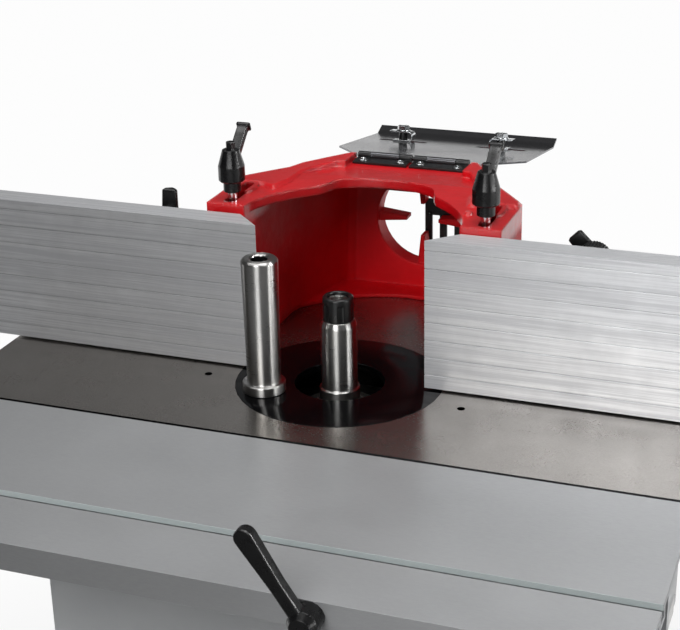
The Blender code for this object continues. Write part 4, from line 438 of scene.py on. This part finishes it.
greenPlastic = plasticFinish("green_plastic", {
    "colour": tone(34, 140, 62), "shade": tone(28, 122, 52), "pale": tone(110, 190, 128), "patch": 0.01,
    "edge": 0.0006, "rough": (0.3, 0.42), "spark": 0.0006, "sparkDepth": 0.00001})
redPlastic = plasticFinish("red_plastic", {
    "colour": tone(196, 24, 22), "shade": tone(176, 18, 18), "pale": tone(226, 100, 92), "patch": 0.01,
    "edge": 0.0006, "rough": (0.3, 0.42), "spark": 0.0006, "sparkDepth": 0.00001})
rubber = plasticFinish("belt_rubber", {
    "colour": tone(30, 30, 30), "shade": tone(42, 41, 40), "pale": tone(66, 64, 62), "patch": 0.008,
    "edge": 0.0005, "rough": (0.62, 0.8), "spark": 0.0008, "sparkDepth": 0.00006, "gloss": 0.3})
print("finishes made")


# CAD nodes keep their shape and get eased edges and a finish

def softShade():
    # A node group that shades smooth and keeps edges sharp past a given angle
    group = bpy.data.node_groups.new("soft_shade", "GeometryNodeTree")
    group.interface.new_socket("Geometry", in_out="INPUT", socket_type="NodeSocketGeometry")
    group.interface.new_socket("Geometry", in_out="OUTPUT", socket_type="NodeSocketGeometry")
    start, end = group.nodes.new("NodeGroupInput"), group.nodes.new("NodeGroupOutput")
    bare = group.nodes.new("GeometryNodeRemoveAttribute")
    bare.inputs["Name"].default_value = "custom_normal"
    faces = group.nodes.new("GeometryNodeSetShadeSmooth")
    faces.domain = "FACE"
    edges = group.nodes.new("GeometryNodeSetShadeSmooth")
    edges.domain = "EDGE"
    angle = group.nodes.new("GeometryNodeInputMeshEdgeAngle")
    small = group.nodes.new("FunctionNodeCompare")
    small.operation = "LESS_THAN"
    small.inputs["B"].default_value = math.radians(38.0)
    group.links.new(start.outputs[0], bare.inputs["Geometry"])
    group.links.new(bare.outputs["Geometry"], faces.inputs["Geometry"])
    group.links.new(faces.outputs["Geometry"], edges.inputs["Geometry"])
    group.links.new(angle.outputs["Unsigned Angle"], small.inputs["A"])
    group.links.new(small.outputs["Result"], edges.inputs["Shade Smooth"])
    group.links.new(edges.outputs["Geometry"], end.inputs[0])
    return group


shadeGroup = softShade()


def dress(name, finish, edge=0.0, past=32.0, segments=2, flat=0.4):
    node = nodes[name]
    node.data.materials.clear()
    node.data.materials.append(finish)
    weld = node.modifiers.new("weld", "WELD")
    weld.merge_threshold = 0.00001
    if edge:
        join = node.modifiers.new("join_flats", "DECIMATE")
        join.decimate_type = "DISSOLVE"
        join.angle_limit = math.radians(flat)
        round_ = node.modifiers.new("ease_edges", "BEVEL")
        round_.width = edge
        round_.segments = segments
        round_.limit_method = "ANGLE"
        round_.angle_limit = math.radians(past)
        round_.miter_outer = "MITER_ARC"
    shade = node.modifiers.new("shade", "NODES")
    shade.node_group = shadeGroup
    if edge:
        even = node.modifiers.new("even", "WEIGHTED_NORMAL")
        even.keep_sharp = True
        even.weight = 80


nodeFinishes = {
    "hood": (redEnamel, 0.0022, 32.0, 3), "main_table": (tableIron, 0.0007), "sliding_table": (slideAluminium, 0.0003),
    "left_fence": (fenceAluminium, 0.0004, 60.0), "right_fence": (fenceAluminium, 0.0004, 60.0), "port_guard": (blackSteel, 0.0004),
    "hinge_leaf_left": (blackSteel, 0.0005), "hinge_leaf_right": (blackSteel, 0.0005),
    "hinge_pin": (blackSteel, 0.0003), "guard_cover": (bluedPlate, 0.0004), "table_ring": (blackGloss, 0.0005),
    "left_fence_carrier": (castIron, 0.0012), "right_fence_carrier": (castIron, 0.0012),
    "left_clamp_stud": (zincSteel, 0.0), "right_clamp_stud": (zincSteel, 0.0),
    "left_clamp_lever": (blackPlastic, 0.0005), "right_clamp_lever": (blackPlastic, 0.0005),
    "left_fence_lever": (blackPlastic, 0.0006), "right_fence_lever": (blackPlastic, 0.0006),
    "table_lock_lever": (blackPlastic, 0.0006), "cover_clamp_left": (zincSteel, 0.0003),
    "cover_clamp_right": (zincSteel, 0.0003), "router_spindle": (polishedSteel, 0.0), "collet": (polishedSteel, 0.0),
    "collet_nut": (blackSteel, 0.0), "spare_spindle": (polishedSteel, 0.0), "spindle_shaft": (polishedSteel, 0.0005),
    "upper_bearing": (polishedSteel, 0.0006), "lower_bearing": (polishedSteel, 0.0006),
    "quill": (groundIron, 0.0008), "carriage": (castIron, 0.0015), "guide_flange": (castIron, 0.0015),
    "guide_foot": (castIron, 0.0015), "guide_column_left": (polishedSteel, 0.0005),
    "guide_column_right": (polishedSteel, 0.0005), "lead_nut": (bronze, 0.0006), "lead_screw": (polishedSteel, 0.0004),
    "lead_screw_gear": (polishedSteel, 0.0002), "handwheel_gear": (polishedSteel, 0.0002),
    "handwheel_shaft": (polishedSteel, 0.0005), "shaft_bush": (bronze, 0.0006), "handwheel": (blackPlastic, 0.001),
    "handwheel_grip": (blackPlastic, 0.0005), "motor_bracket": (castIron, 0.0015), "motor_housing": (darkPaint, 0.0008),
    "motor_fan_cover": (darkPaint, 0.002), "motor_shaft": (polishedSteel, 0.0005),
    "motor_pulley": (aluminium, 0.0005), "spindle_pulley": (aluminium, 0.0005), "drive_belt": (rubber, 0.0006),
    "slide_rail": (polishedSteel, 0.0008), "rail_bracket_left": (castIron, 0.0015),
    "rail_bracket_right": (castIron, 0.0015), "cabinet": (greyPaint, 0.0), "base_plinth": (darkPaint, 0.0015),
    "cabinet_door": (greyPaint, 0.0008), "door_latch": (blackPlastic, 0.001), "switch_box": (blackPlastic, 0.003),
    "start_button": (greenPlastic, 0.0008), "stop_button": (redPlastic, 0.0015)}
for nodeName, settings in nodeFinishes.items():
    dress(nodeName, *settings)
print("CAD nodes dressed")


# Turned spindles

spareLook = {"radius": 0.0165, "topRadius": 0.0181, "flange": 0.0213, "flangeHigh": 0.010, "bore": 0.0087,
             "mouth": 0.0104, "rim": 0.0022, "boreDeep": 0.032, "shadeLining": 0.0004}


def spareSpindle(look):
    # Flange, undercut neck, body that widens upwards and coned mouth, with a thin black cup in the bore as painted
    # shade
    low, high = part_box("spare_spindle")
    height = high.z - low.z
    r, f, top = look["radius"], look["flange"], look["topRadius"]
    body = eased([(0.0, 0.0), (f - 0.0004, 0.0), (f, 0.0006), (f, look["flangeHigh"] - 0.0008),
                  (f - 0.0008, look["flangeHigh"]), (r + 0.0004, look["flangeHigh"]),
                  (r - 0.0003, look["flangeHigh"] + 0.0012), (r, look["flangeHigh"] + 0.003),
                  (top, height - look["rim"]), (top - look["rim"], height), (look["mouth"], height),
                  (look["bore"], height - 0.0011), (look["bore"], height - look["boreDeep"]),
                  (0.0, height - look["boreDeep"] - 0.003)], 0.0008, 5)
    # The black cup inside the bore is painted shade for the dark hollow
    inner = look["bore"] - look["shadeLining"]
    shadeCup = [(0.0, height - look["boreDeep"]), (look["bore"] - 0.0001, height - look["boreDeep"]),
           (look["bore"] - 0.0001, height - 0.0016), (inner, height - 0.0016),
           (inner, height - look["boreDeep"] + 0.001), (0.0, height - look["boreDeep"] + 0.001)]
    place = Matrix.Translation(((low.x + high.x) / 2, (low.y + high.y) / 2, low.z))
    addPiece("spareSpindle", [turnedShell(body, 128)], spareSteel, "spare_spindle",
             ("spare_spindle",), place)
    addPiece("spareBoreShade", [turnedShell(shadeCup, 96)], blackSteel, "spare_spindle", (), place)


chuckLook = {"radius": 0.018, "flange": 0.0203, "foot": -0.0234, "flangeTop": -0.0045, "shoulder": 0.067,
             "nose": 0.0115, "noseTop": 0.0805}


def routerChuck(look):
    # Flange, body and coned shoulder under the nut, then the nose that the nut screws on
    r, f = look["radius"], look["flange"]
    line = eased([(0.0, look["foot"]), (f, look["foot"]), (f, look["flangeTop"] - 0.0008),
                  (f - 0.0008, look["flangeTop"]), (r + 0.0006, look["flangeTop"]), (r, look["flangeTop"] + 0.0012),
                  (r, look["shoulder"] - 0.0055), (r - 0.0022, look["shoulder"]), (look["nose"], look["shoulder"]),
                  (look["nose"], look["noseTop"] - 0.0006), (look["nose"] - 0.0006, look["noseTop"]),
                  (0.0, look["noseTop"])], 0.0006, 4)
    addPiece("routerSpindle", [turnedShell(line, 128)], polishedSteel, "spindle",
             ("router_spindle",), Matrix.Translation((0.0, 0.0, tableTop)))


nutLook = {"radius": 0.0153, "low": 0.0673, "top": 0.0915, "mouth": 0.0102, "bore": 0.0117, "lip": 0.005,
           "notches": 6, "notchDeep": 0.0009, "notchTop": 0.086}


def colletNut(look):
    # A turned nut whose skirt has shallow spanner flats: r = R - depth * bump(angle) below the collar
    count = 144
    line = eased([(look["bore"], look["low"]), (look["radius"] - 0.0006, look["low"]),
                  (look["radius"], look["low"] + 0.0008), (look["radius"], look["notchTop"] - 0.002),
                  (look["radius"], look["notchTop"]), (look["radius"], look["top"] - 0.0016),
                  (look["radius"] - 0.0016, look["top"]), (look["mouth"] + 0.0010, look["top"]),
                  (look["mouth"], look["top"] - 0.0012), (look["mouth"], look["top"] - look["lip"]),
                  (look["bore"], look["top"] - look["lip"])], 0.0005, 3, True)
    a = np.linspace(0.0, 2 * np.pi, count, endpoint=False)
    flats = np.clip(np.cos(look["notches"] * a) * 1.6 - 0.4, 0.0, 1.0)
    skirt = ((line[:, 1] < look["notchTop"] - 0.001) & (line[:, 0] > look["radius"] - 0.001))[:, None]
    radii = line[:, :1] - look["notchDeep"] * flats * skirt
    shell = stackedShell(ringsOf(radii, line[:, 1]), False, True)
    addPiece("colletNut", [shell], blackSteel, "collet_nut", ("collet_nut",),
             Matrix.Translation((0.0, 0.0, tableTop)))


colletLook = {"outer": 0.0098, "bore": 0.006, "low": 0.0808, "top": 0.0885, "slots": 8, "slotWide": 0.10}


def colletJaws(look):
    # A spring ring with narrow saw cuts: the top drops where cos(slots * angle) is close to 1
    a = np.linspace(0.0, 2 * np.pi, 192, endpoint=False)
    cut = np.clip((np.cos(look["slots"] * a) - (1 - look["slotWide"])) / look["slotWide"] * 4, 0.0, 1.0)
    line = eased([(look["bore"], look["low"]), (look["outer"], look["low"]), (look["outer"], look["top"]),
                  (look["bore"], look["top"])], 0.0004, 3, True)
    upper = np.clip((line[:, 1:] - look["low"] - 0.002) / 0.006, 0.0, 1.0)
    heights = line[:, 1:] - upper * cut * 0.007
    addPiece("colletJaws", [stackedShell(ringsOf(line[:, :1] + 0 * a, heights), False, True)], polishedSteel,
             "spindle", ("collet",), Matrix.Translation((0.0, 0.0, tableTop)))


spareSpindle(spareLook)
routerChuck(chuckLook)
colletNut(nutLook)
colletJaws(colletLook)

ringLook = {"outer": 0.104, "bore": 0.045, "thick": 0.008}


def tableRing(look):
    # A flat ring with eased rims: its profile is a rectangle turned round the spindle
    line = eased([(look["bore"], -look["thick"]), (look["outer"], -look["thick"]), (look["outer"], 0.0),
                  (look["bore"], 0.0)], 0.0008, 4, True)
    addPiece("tableRing", [turnedShell(line, 192, True)], blackGloss, "machine", ("table_ring",),
             Matrix.Translation((0.0, 0.0, tableTop)))


tableRing(ringLook)
print("spindles and ring made")


# Clamp levers on the hood's arms

leverLook = {"skirt": 0.0090, "skirtHigh": 0.011, "barrel": 0.0136, "barrelHigh": 0.016, "coneHigh": 0.017,
             "crown": 0.0082, "capFlats": 0.0086, "capHigh": 0.0078, "facets": 12, "armWide": 0.0108,
             "armThick": 0.0078, "tipWide": 0.0150, "tipThick": 0.0098, "reach": 0.034, "rise": 0.0595}


def leverShells(look):
    # Hub: radii by height, drawn a little towards a polygon. Arm: an eased rectangle along a rising line
    s, b = look["skirtHigh"], look["skirtHigh"] + look["barrelHigh"]
    top = b + look["coneHigh"]
    line = eased([(look["skirt"] - 0.0008, 0.0, 0.0), (look["skirt"], 0.0006, 0.0), (look["skirt"], s, 0.1),
                  (look["barrel"] - 0.0012, s, 0.3), (look["barrel"], s + 0.0014, 0.4), (look["barrel"], b, 0.4),
                  (look["crown"] + 0.0006, top - 0.0006, 0.5), (look["crown"] - 0.0006, top, 0.3),
                  (0.0035, top, 0.0)], 0.0009, 3)
    flats = polygonRadius(look["facets"], 96) - 1.0
    rows = line[:, :1] * (1.0 + line[:, 2:] * flats)
    hub = stackedShell(ringsOf(rows, line[:, 1]))
    cap = hexShell(look["capFlats"], top - 0.0004, top + look["capHigh"])
    path = eased([(0.0, 0.002, b + 0.006), (0.0, 0.009, b + 0.0085), (0.0, look["reach"] - 0.006, look["rise"] - 0.006),
                  (0.0, look["reach"], look["rise"] - 0.0015), (0.0, look["reach"] + 0.0045, look["rise"])], 0.004, 6)
    t = np.linspace(0.0, 1.0, len(path))
    swell = np.clip((t - 0.62) / 0.2, 0.0, 1.0) ** 2
    close = np.sqrt(np.clip(1.0 - np.clip((t - 0.9) / 0.1, 0.0, 1.0) ** 2 * 0.85, 0.0, 1.0))
    wide = (look["armWide"] + (look["tipWide"] - look["armWide"]) * swell) / look["armWide"] * (0.6 + 0.4 * close)
    thick = (look["armThick"] + (look["tipThick"] - look["armThick"]) * swell) / look["armThick"] * close
    arm = carriedShell(boxOutline(look["armWide"], look["armThick"], 0.0016), path, (1.0, 0.0, 0.0),
                       np.column_stack([wide, thick]))
    return hub, arm, cap


def clampLever(tag, side):
    low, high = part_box(tag + "_clamp_lever")
    hub, arm, cap = leverShells(leverLook)
    place = Matrix.Translation((side * 0.1325, 0.0554, low.z))
    addPiece(tag + "ClampLever", [hub, arm], blackPlastic, tag + "_clamp",
             (tag + "_clamp_lever",), place)
    addPiece(tag + "LeverScrew", [cap], blackSteel, tag + "_clamp", (), place)


for tag, side in (("left", -1), ("right", 1)):
    clampLever(tag, side)
print("clamp levers made")


# Cover clamps: a bent clip under a hex bolt, one in each slot of the cover

pinLow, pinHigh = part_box("hinge_pin")
coverPlace = Matrix.Translation((pinLow + pinHigh) / 2) @ Matrix.Rotation(math.radians(-9.0), 4, "X")
clampLook = {"x": 0.060, "y": 0.150, "clipLow": -0.0017, "clipHigh": 0.012, "thick": 0.0016, "wide": 0.0155,
             "outer": 0.0150, "inner": 0.0122, "bend": 0.0052, "flats": 0.013, "head": 0.0052, "washer": 0.0084,
             "washerHigh": 0.0014, "shank": 0.004, "sleeve": 0.0052, "nutTop": -0.0043, "nutHigh": 0.0055}


def coverClamp(tag, side, look):
    # Clip: a flat strip carried along a C. Bolt, washer and nut are turned or six-sided on one axis
    high = look["clipLow"] + look["clipHigh"]
    top, foot = high - look["thick"] / 2, look["clipLow"] + look["thick"] / 2
    corners = [(side * look["outer"], 0.0, top), (-side * look["inner"], 0.0, top),
               (-side * look["inner"], 0.0, foot), (side * look["outer"] * 0.7, 0.0, foot)]
    strip = carriedShell(boxOutline(look["wide"], look["thick"], 0.0004), eased(corners, look["bend"], 10),
                         (0.0, 1.0, 0.0))
    seat = high + look["washerHigh"]
    washer = turnedShell(eased([(look["shank"], high), (look["washer"], high), (look["washer"], seat),
                                (look["shank"], seat)], 0.0004, 3, True), 64, True)
    head = hexShell(look["flats"], seat, seat + look["head"])
    nut = hexShell(look["flats"], look["nutTop"] - look["nutHigh"], look["nutTop"])
    end = look["nutTop"] - look["nutHigh"] - 0.002
    shank = turnedShell(eased([(0.0, end), (look["shank"], end), (look["shank"], seat), (0.0, seat)], 0.0005, 3), 48)
    sleeve = turnedShell(eased([(look["shank"], foot), (look["sleeve"], foot), (look["sleeve"], top),
                                (look["shank"], top)], 0.0004, 3, True), 48, True)
    place = coverPlace @ Matrix.Translation((side * look["x"], look["y"], 0.0))
    body = "cover_clamp_" + tag
    addPiece(tag + "CoverClip", [strip, washer, head, shank, nut], zincSteel, body, (body,), place)
    addPiece(tag + "CoverSleeve", [sleeve], blackSteel, body, (), place)


for tag, side in (("left", -1), ("right", 1)):
    coverClamp(tag, side, clampLook)

screwLook = {"radius": 0.0047, "dome": 0.0023, "rim": 0.0007, "cross": 0.0007, "crossReach": 0.0026,
             "crossDeep": 0.0014}


def panHead(look):
    # A dome z = rim + rise * (1 - (r/R)^2) with a cross let into it where |x| or |y| is small
    r = np.linspace(look["radius"], 0.0, 26)[:, None]
    a = np.linspace(0.0, 2 * np.pi, 96, endpoint=False)[None]
    dome = look["rim"] + (look["dome"] - look["rim"]) * (1 - (r / look["radius"]) ** 2)
    near = np.minimum(np.abs(r * np.sin(a)), np.abs(r * np.cos(a)))
    arm = np.clip((look["cross"] - near) / 0.0002 + 0.5, 0.0, 1.0)
    reach = np.clip((look["crossReach"] - r) / 0.0005, 0.0, 1.0)
    top = ringsOf(r + 0 * a, dome - look["crossDeep"] * arm * reach)
    foot = ringsOf(look["radius"] + 0 * a, 0.0)
    return stackedShell(np.concatenate([foot, top]))


def addScrews(name, spots, place, finish, body, look=screwLook, size=1.0):
    # Screws at (x, y, turn) on the plane that place gives
    head = panHead(look)
    shells = [placed(head, place @ Matrix.Translation((x, y, 0.0)) @ Matrix.Rotation(turn, 4, "Z")
                     @ Matrix.Scale(size, 4)) for x, y, turn in spots]
    addPiece(name, shells, finish, body)


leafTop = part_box("hinge_leaf_left")[0].z + 0.0025
addScrews("hingeScrews", [(-0.0536, 0.230, 0.3), (-0.0113, 0.231, 1.0), (0.0113, 0.231, 0.1), (0.0536, 0.230, 0.7)],
          Matrix.Translation((0.0, 0.0, leafTop)), zincSteel, "machine")
print("cover clamps and hinge screws made")


# Clamps behind the fences

knobLook = {"high": 0.022, "flutes": 36, "fluteDeep": 0.0003, "vaneReach": 0.0295, "vaneRoot": 0.0185,
            "vaneTip": 0.0160, "vaneThick": 0.009}


def fenceKnob(tag, place, look):
    # Hub: r = R + depth * cos(flutes * angle) on its side. Vane: a roof-shaped section along a rising line
    line = eased([(0.004, 0.0, 0.0), (look["radius"] - 0.001, 0.0, 0.3), (look["radius"], 0.0012, 1.0),
                  (look["radius"], look["high"] - 0.005, 1.0), (look["radius"] - 0.0045, look["high"], 0.2),
                  (0.004, look["high"], 0.0)], 0.0012, 4)
    a = np.linspace(0.0, 2 * np.pi, 180, endpoint=False)
    hub = stackedShell(ringsOf(line[:, :1] + look["fluteDeep"] * line[:, 2:] * np.cos(look["flutes"] * a), line[:, 1]))
    t = np.linspace(0.0, 1.0, 24)
    path = np.column_stack([0 * t, look["vaneReach"] * t, look["high"] - 0.0045 + 0.002 * t])
    wide = 1.0 + (look["vaneTip"] / look["vaneRoot"] - 1.0) * t
    close = np.sqrt(np.clip(1.0 - np.clip((t - 0.93) / 0.07, 0.0, 1.0) ** 2 * 0.5, 0.0, 1.0))
    w, h = look["vaneRoot"] / 2, look["vaneThick"] / 2
    roof = eased([(-w, -h), (w, -h), (w, 0.0), (0.0, h * 1.2), (-w, 0.0)], 0.0016, 4, True)
    vane = carriedShell(roof, path, (-1.0, 0.0, 0.0), np.column_stack([wide * close, close]))
    bolt = turnedShell(eased([(0.0, -0.020), (0.004, -0.020), (0.004, 0.001), (0.0, 0.001)], 0.0003, 2), 40)
    addPiece(tag + "FenceKnob", [hub, vane, bolt], blackPlastic, tag + "_fence_lock",
             (tag + "_fence_lever",), place)


knobSpots = {"left": ((-0.204, 0.0392), 180.0, 0.0125), "right": ((0.238, 0.0450), 135.0, 0.0165)}
for tag, (spot, turn, radius) in knobSpots.items():
    place = Matrix.Translation((*spot, tableTop + 0.135)) @ Matrix.Rotation(math.radians(turn), 4, "Y")
    fenceKnob(tag, place @ Matrix.Rotation(-math.pi / 2, 4, "X"), {**knobLook, "radius": radius})
print("fence knobs made")


# Handwheel and its grip on the cabinet front

wheelPlace = Matrix.Translation((0.0, 0.098, tableTop - 0.430)) @ Matrix.Rotation(math.pi / 2, 4, "X")
wheelLook = {"middle": 0.275, "radius": 0.068, "rimWide": 0.008, "rimDeep": 0.0085, "hub": 0.018, "hubHigh": 0.024,
             "spoke": 0.0062, "bore": 0.0083, "grips": 30, "gripDeep": 0.0005}


def handWheel(look):
    # Rim: an oval carried round the axis, with shallow finger waves. Spokes: ovals that thin towards the rim
    m, half = look["middle"], look["hubHigh"] / 2
    b = np.linspace(0.0, 2 * np.pi, 40, endpoint=False)
    a = np.linspace(0.0, 2 * np.pi, 240, endpoint=False)
    wave = look["gripDeep"] * np.cos(look["grips"] * a)[None] * np.clip(-np.cos(b), 0.0, 1.0)[:, None]
    radii = look["radius"] + look["rimWide"] * np.cos(b)[:, None] + wave
    rim = stackedShell(ringsOf(radii, m + look["rimDeep"] * np.sin(b)), False, True)
    hub = turnedShell(eased([(look["bore"], m - half), (look["hub"] - 0.002, m - half), (look["hub"], m - half + 0.002),
                             (look["hub"], m + half - 0.008), (look["hub"] - 0.004, m + half - 0.001),
                             (look["bore"] + 0.003, m + half), (look["bore"], m + half - 0.001)], 0.0015, 4, True), 96, True)
    t = np.linspace(0.0, 1.0, 12)
    oval = np.column_stack([np.cos(b), np.sin(b)])
    reach = look["hub"] - 0.004 + (look["radius"] - look["hub"]) * t
    dish = m + 0.0035 * np.sin(np.pi * t)
    thin = look["spoke"] * (1.25 - 0.35 * t)
    shells = [rim, hub]
    for third in range(3):
        turn = math.pi / 2 + third * 2 * math.pi / 3
        path = np.column_stack([reach * math.cos(turn), reach * math.sin(turn), dish])
        shells.append(carriedShell(oval, path, (-math.sin(turn), math.cos(turn), 0.0),
                                   np.column_stack([thin, thin * 0.72])))
    addPiece("handWheel", shells, blackPlastic, "handwheel", ("handwheel",), wheelPlace)
    cap = turnedShell(eased([(0.0, m + half - 0.002), (0.0095, m + half - 0.002), (0.0095, m + half + 0.0006),
                             (0.006, m + half + 0.0022), (0.0, m + half + 0.0024)], 0.0012, 4), 64)
    addPiece("handWheelCap", [cap], zincSteel, "handwheel", (), wheelPlace)


gripLook = {"radius": 0.0115, "low": 0.2833, "length": 0.065, "neck": 0.0066}


def handGrip(look):
    # A turned handle: a neck, a swelling towards the end and a rounded cap
    r, low, length = look["radius"], look["low"], look["length"]
    line = eased([(0.0, low), (look["neck"] + 0.0012, low), (look["neck"], low + 0.003), (look["neck"], low + 0.007),
                  (r * 0.80, low + length * 0.22), (r * 0.93, low + length * 0.5), (r, low + length * 0.78),
                  (r * 0.93, low + length * 0.94), (r * 0.55, low + length), (0.0, low + length)], 0.006, 6)
    addPiece("handWheelGrip", [turnedShell(line, 72)], blackPlastic, "handwheel_grip",
             ("handwheel_grip",), wheelPlace @ Matrix.Translation((0.068, 0.0, 0.0)))


handWheel(wheelLook)
handGrip(gripLook)
print("handwheel made")


# Room: camera, floor, lamps and world

cameraLook = {"lens": 81.85, "azimuth": 20.62, "elevation": 22.37, "roll": -1.24, "distance": 1.5134,
              "target": (0.0018, 0.0, tableTop + 0.0712)}


def setCamera(look):
    az, el, roll = (math.radians(look[k]) for k in ("azimuth", "elevation", "roll"))
    back = Vector((math.sin(az) * math.cos(el), -math.cos(az) * math.cos(el), math.sin(el)))
    right = (-back).cross(Vector((0.0, 0.0, 1.0))).normalized()
    up = right.cross(-back).normalized()
    across = right * math.cos(roll) + up * math.sin(roll)
    over = up * math.cos(roll) - right * math.sin(roll)
    data = bpy.data.cameras.new("photoCamera")
    data.sensor_width = 36.0
    data.lens = look["lens"]
    data.clip_start, data.clip_end = 0.05, 200.0
    camera = bpy.data.objects.new("photoCamera", data)
    turn = Matrix((across, over, back)).transposed().to_4x4()
    camera.matrix_world = Matrix.Translation(Vector(look["target"]) + back * look["distance"]) @ turn
    bpy.context.scene.collection.objects.link(camera)
    bpy.context.scene.camera = camera


setCamera(cameraLook)

roomLook = {"floorSize": 60.0, "floorColour": tone(235, 235, 235), "floorGlow": 0.98, "nearGlow": 0.66,
            "nearReach": 0.55, "farReach": 1.3, "worldGrey": 0.04}


def seenRay(tree):
    # 1 for rays that see the background: straight from the camera, mirrored or passed through
    path = put(tree, "LightPath")
    both = put(tree, "Math", {0: path.outputs["Is Camera Ray"], 1: path.outputs["Is Glossy Ray"]}, operation="MAXIMUM")
    return put(tree, "Math", {0: both.outputs["Value"], 1: path.outputs["Is Transmission Ray"]},
               operation="MAXIMUM").outputs["Value"]


def setRoom(look):
    s = look["floorSize"] / 2
    mesh = bpy.data.meshes.new("studioFloor")
    mesh.from_pydata([(-s, -s, 0.0), (s, -s, 0.0), (s, s, 0.0), (-s, s, 0.0)], [], [(0, 1, 2, 3)])
    floor = bpy.data.objects.new("studioFloor", mesh)
    bpy.context.scene.collection.objects.link(floor)
    material = bpy.data.materials.new("pale_floor")
    material.use_nodes = True
    tree = material.node_tree
    tree.nodes.remove(tree.nodes["Principled BSDF"])
    matt = put(tree, "BsdfDiffuse", {"Color": (*look["floorColour"], 1.0)})
    glow = put(tree, "Emission", {"Color": (1.0, 1.0, 1.0, 1.0), "Strength": 1.0})
    away = put(tree, "VectorMath", {0: put(tree, "TexCoord").outputs["Object"]}, operation="LENGTH").outputs["Value"]
    share = product(tree, seenRay(tree), spread(tree, away, look["nearGlow"], look["floorGlow"], look["nearReach"],
                                                look["farReach"]))
    mixed = put(tree, "MixShader", {0: share, 1: matt.outputs[0], 2: glow.outputs[0]})
    tree.links.new(mixed.outputs[0], tree.nodes["Material Output"].inputs["Surface"])
    mesh.materials.append(material)
    world = bpy.data.worlds.new("studioWorld")
    world.use_nodes = True
    tree = world.node_tree
    grey = look["worldGrey"]
    strength = spread(tree, seenRay(tree), grey, 1.0, 0.0, 1.0)
    tree.nodes["Background"].inputs["Color"].default_value = (1.0, 1.0, 1.0, 1.0)
    tree.links.new(strength, tree.nodes["Background"].inputs["Strength"])
    bpy.context.scene.world = world


setRoom(roomLook)

flagLook = {"radius": 7.0, "front": 0.03, "back": 0.11, "apron": 0.09}


def setFlags(look):
    # A dome and an apron that only reflections see: dark to the front, grey above, white low down at the back
    rise = np.linspace(0.0, np.pi / 2, 13)
    dome = turnedShell(np.column_stack([np.cos(rise), np.sin(rise)]) * look["radius"], 48)
    apron = turnedShell([(0.9, 0.0), (look["radius"], 0.0)], 48)
    for name, shell in (("studioDome", dome), ("studioApron", apron)):
        points = shell[0] + (0.0, 0.0, 0.02)
        if name == "studioApron":
            points[:, 1] = np.minimum(points[:, 1], -0.2)
        mesh = bpy.data.meshes.new(name)
        mesh.from_pydata(points.tolist(), [], shell[1])
        flag = bpy.data.objects.new(name, mesh)
        bpy.context.scene.collection.objects.link(flag)
        for ray in ("camera", "diffuse", "transmission", "volume_scatter", "shadow"):
            setattr(flag, "visible_" + ray, False)
        material = bpy.data.materials.new(name)
        material.use_nodes = True
        tree = material.node_tree
        tree.nodes.remove(tree.nodes["Principled BSDF"])
        where = put(tree, "TexCoord")
        part = put(tree, "SeparateXYZ", {"Vector": where.outputs["Object"]})
        r = look["radius"]
        if name == "studioDome":
            grey = spread(tree, part.outputs["Y"], look["front"], look["back"], -0.2 * r, 0.6 * r)
            low = product(tree, spread(tree, part.outputs["Z"], 1.3, 0.0, 0.12 * r, 0.22 * r),
                          spread(tree, part.outputs["Y"], 0.0, 1.0, 0.1 * r, 0.5 * r))
            level = put(tree, "Math", {0: grey, 1: low}, operation="MAXIMUM").outputs["Value"]
        else:
            level = spread(tree, part.outputs["X"], look["apron"], look["apron"] * 3, -1.0, 2.0)
        glow = put(tree, "Emission", {"Color": (1.0, 1.0, 1.0, 1.0), "Strength": level})
        tree.links.new(glow.outputs[0], tree.nodes["Material Output"].inputs["Surface"])
        mesh.materials.append(material)


setFlags(flagLook)

lampLook = {
    "overLeft": {"place": (-0.9, 0.1, 2.9), "aim": (0.0, 0.0, tableTop), "size": (0.9, 1.0), "bright": 3.9},
    "overRight": {"place": (0.3, 0.1, 2.9), "aim": (0.0, 0.0, tableTop), "size": (0.9, 1.0), "bright": 7.5},
    "frontLeft": {"place": (-0.40, -2.0, 2.55), "aim": (0.0, 0.0, tableTop), "size": (0.45, 1.3), "bright": 7.0},
    "frontRight": {"place": (0.10, -2.0, 2.55), "aim": (0.0, 0.0, tableTop), "size": (0.45, 1.3), "bright": 10.4},
    "frontLow": {"place": (0.2, -2.4, 1.25), "aim": (0.0, 0.0, tableTop), "size": (0.9, 0.6), "bright": 7.0,
                 "diffuse": False},
    "right": {"place": (2.2, -0.4, 0.98), "aim": (0.0, 0.0, tableTop), "size": (0.6, 0.5), "bright": 12.0},
    "edgeRight": {"place": (2.1, 0.45, 2.0), "aim": (0.0, 0.0, tableTop), "size": (0.22, 1.6), "bright": 40.0,
                  "diffuse": False},
    "fillLeft": {"place": (-0.9, -1.8, 2.2), "aim": (0.0, 0.0, tableTop), "size": (0.8, 0.8), "bright": 8.0,
                 "glossy": False},
    "backLow": {"place": (0.9, 2.6, 0.75), "aim": (0.0, 0.2, 0.45), "size": (1.2, 0.8), "bright": 6.0,
                "glossy": False},
}


def addLamp(name, look):
    data = bpy.data.lights.new(name, "AREA")
    data.shape = "RECTANGLE"
    data.size, data.size_y = look["size"]
    data.energy = look["bright"] * math.pi * data.size * data.size_y
    lamp = bpy.data.objects.new(name, data)
    direction = Vector(look["aim"]) - Vector(look["place"])
    turn = direction.to_track_quat("-Z", "Y").to_matrix().to_4x4()
    lamp.matrix_world = Matrix.Translation(look["place"]) @ turn
    lamp.visible_camera = False
    lamp.visible_diffuse = look.get("diffuse", True)
    lamp.visible_glossy = look.get("glossy", True)
    bpy.context.scene.collection.objects.link(lamp)


for lampName, look in lampLook.items():
    addLamp(lampName, look)
print("room made")

bpy.context.scene.view_settings.view_transform = "Standard"
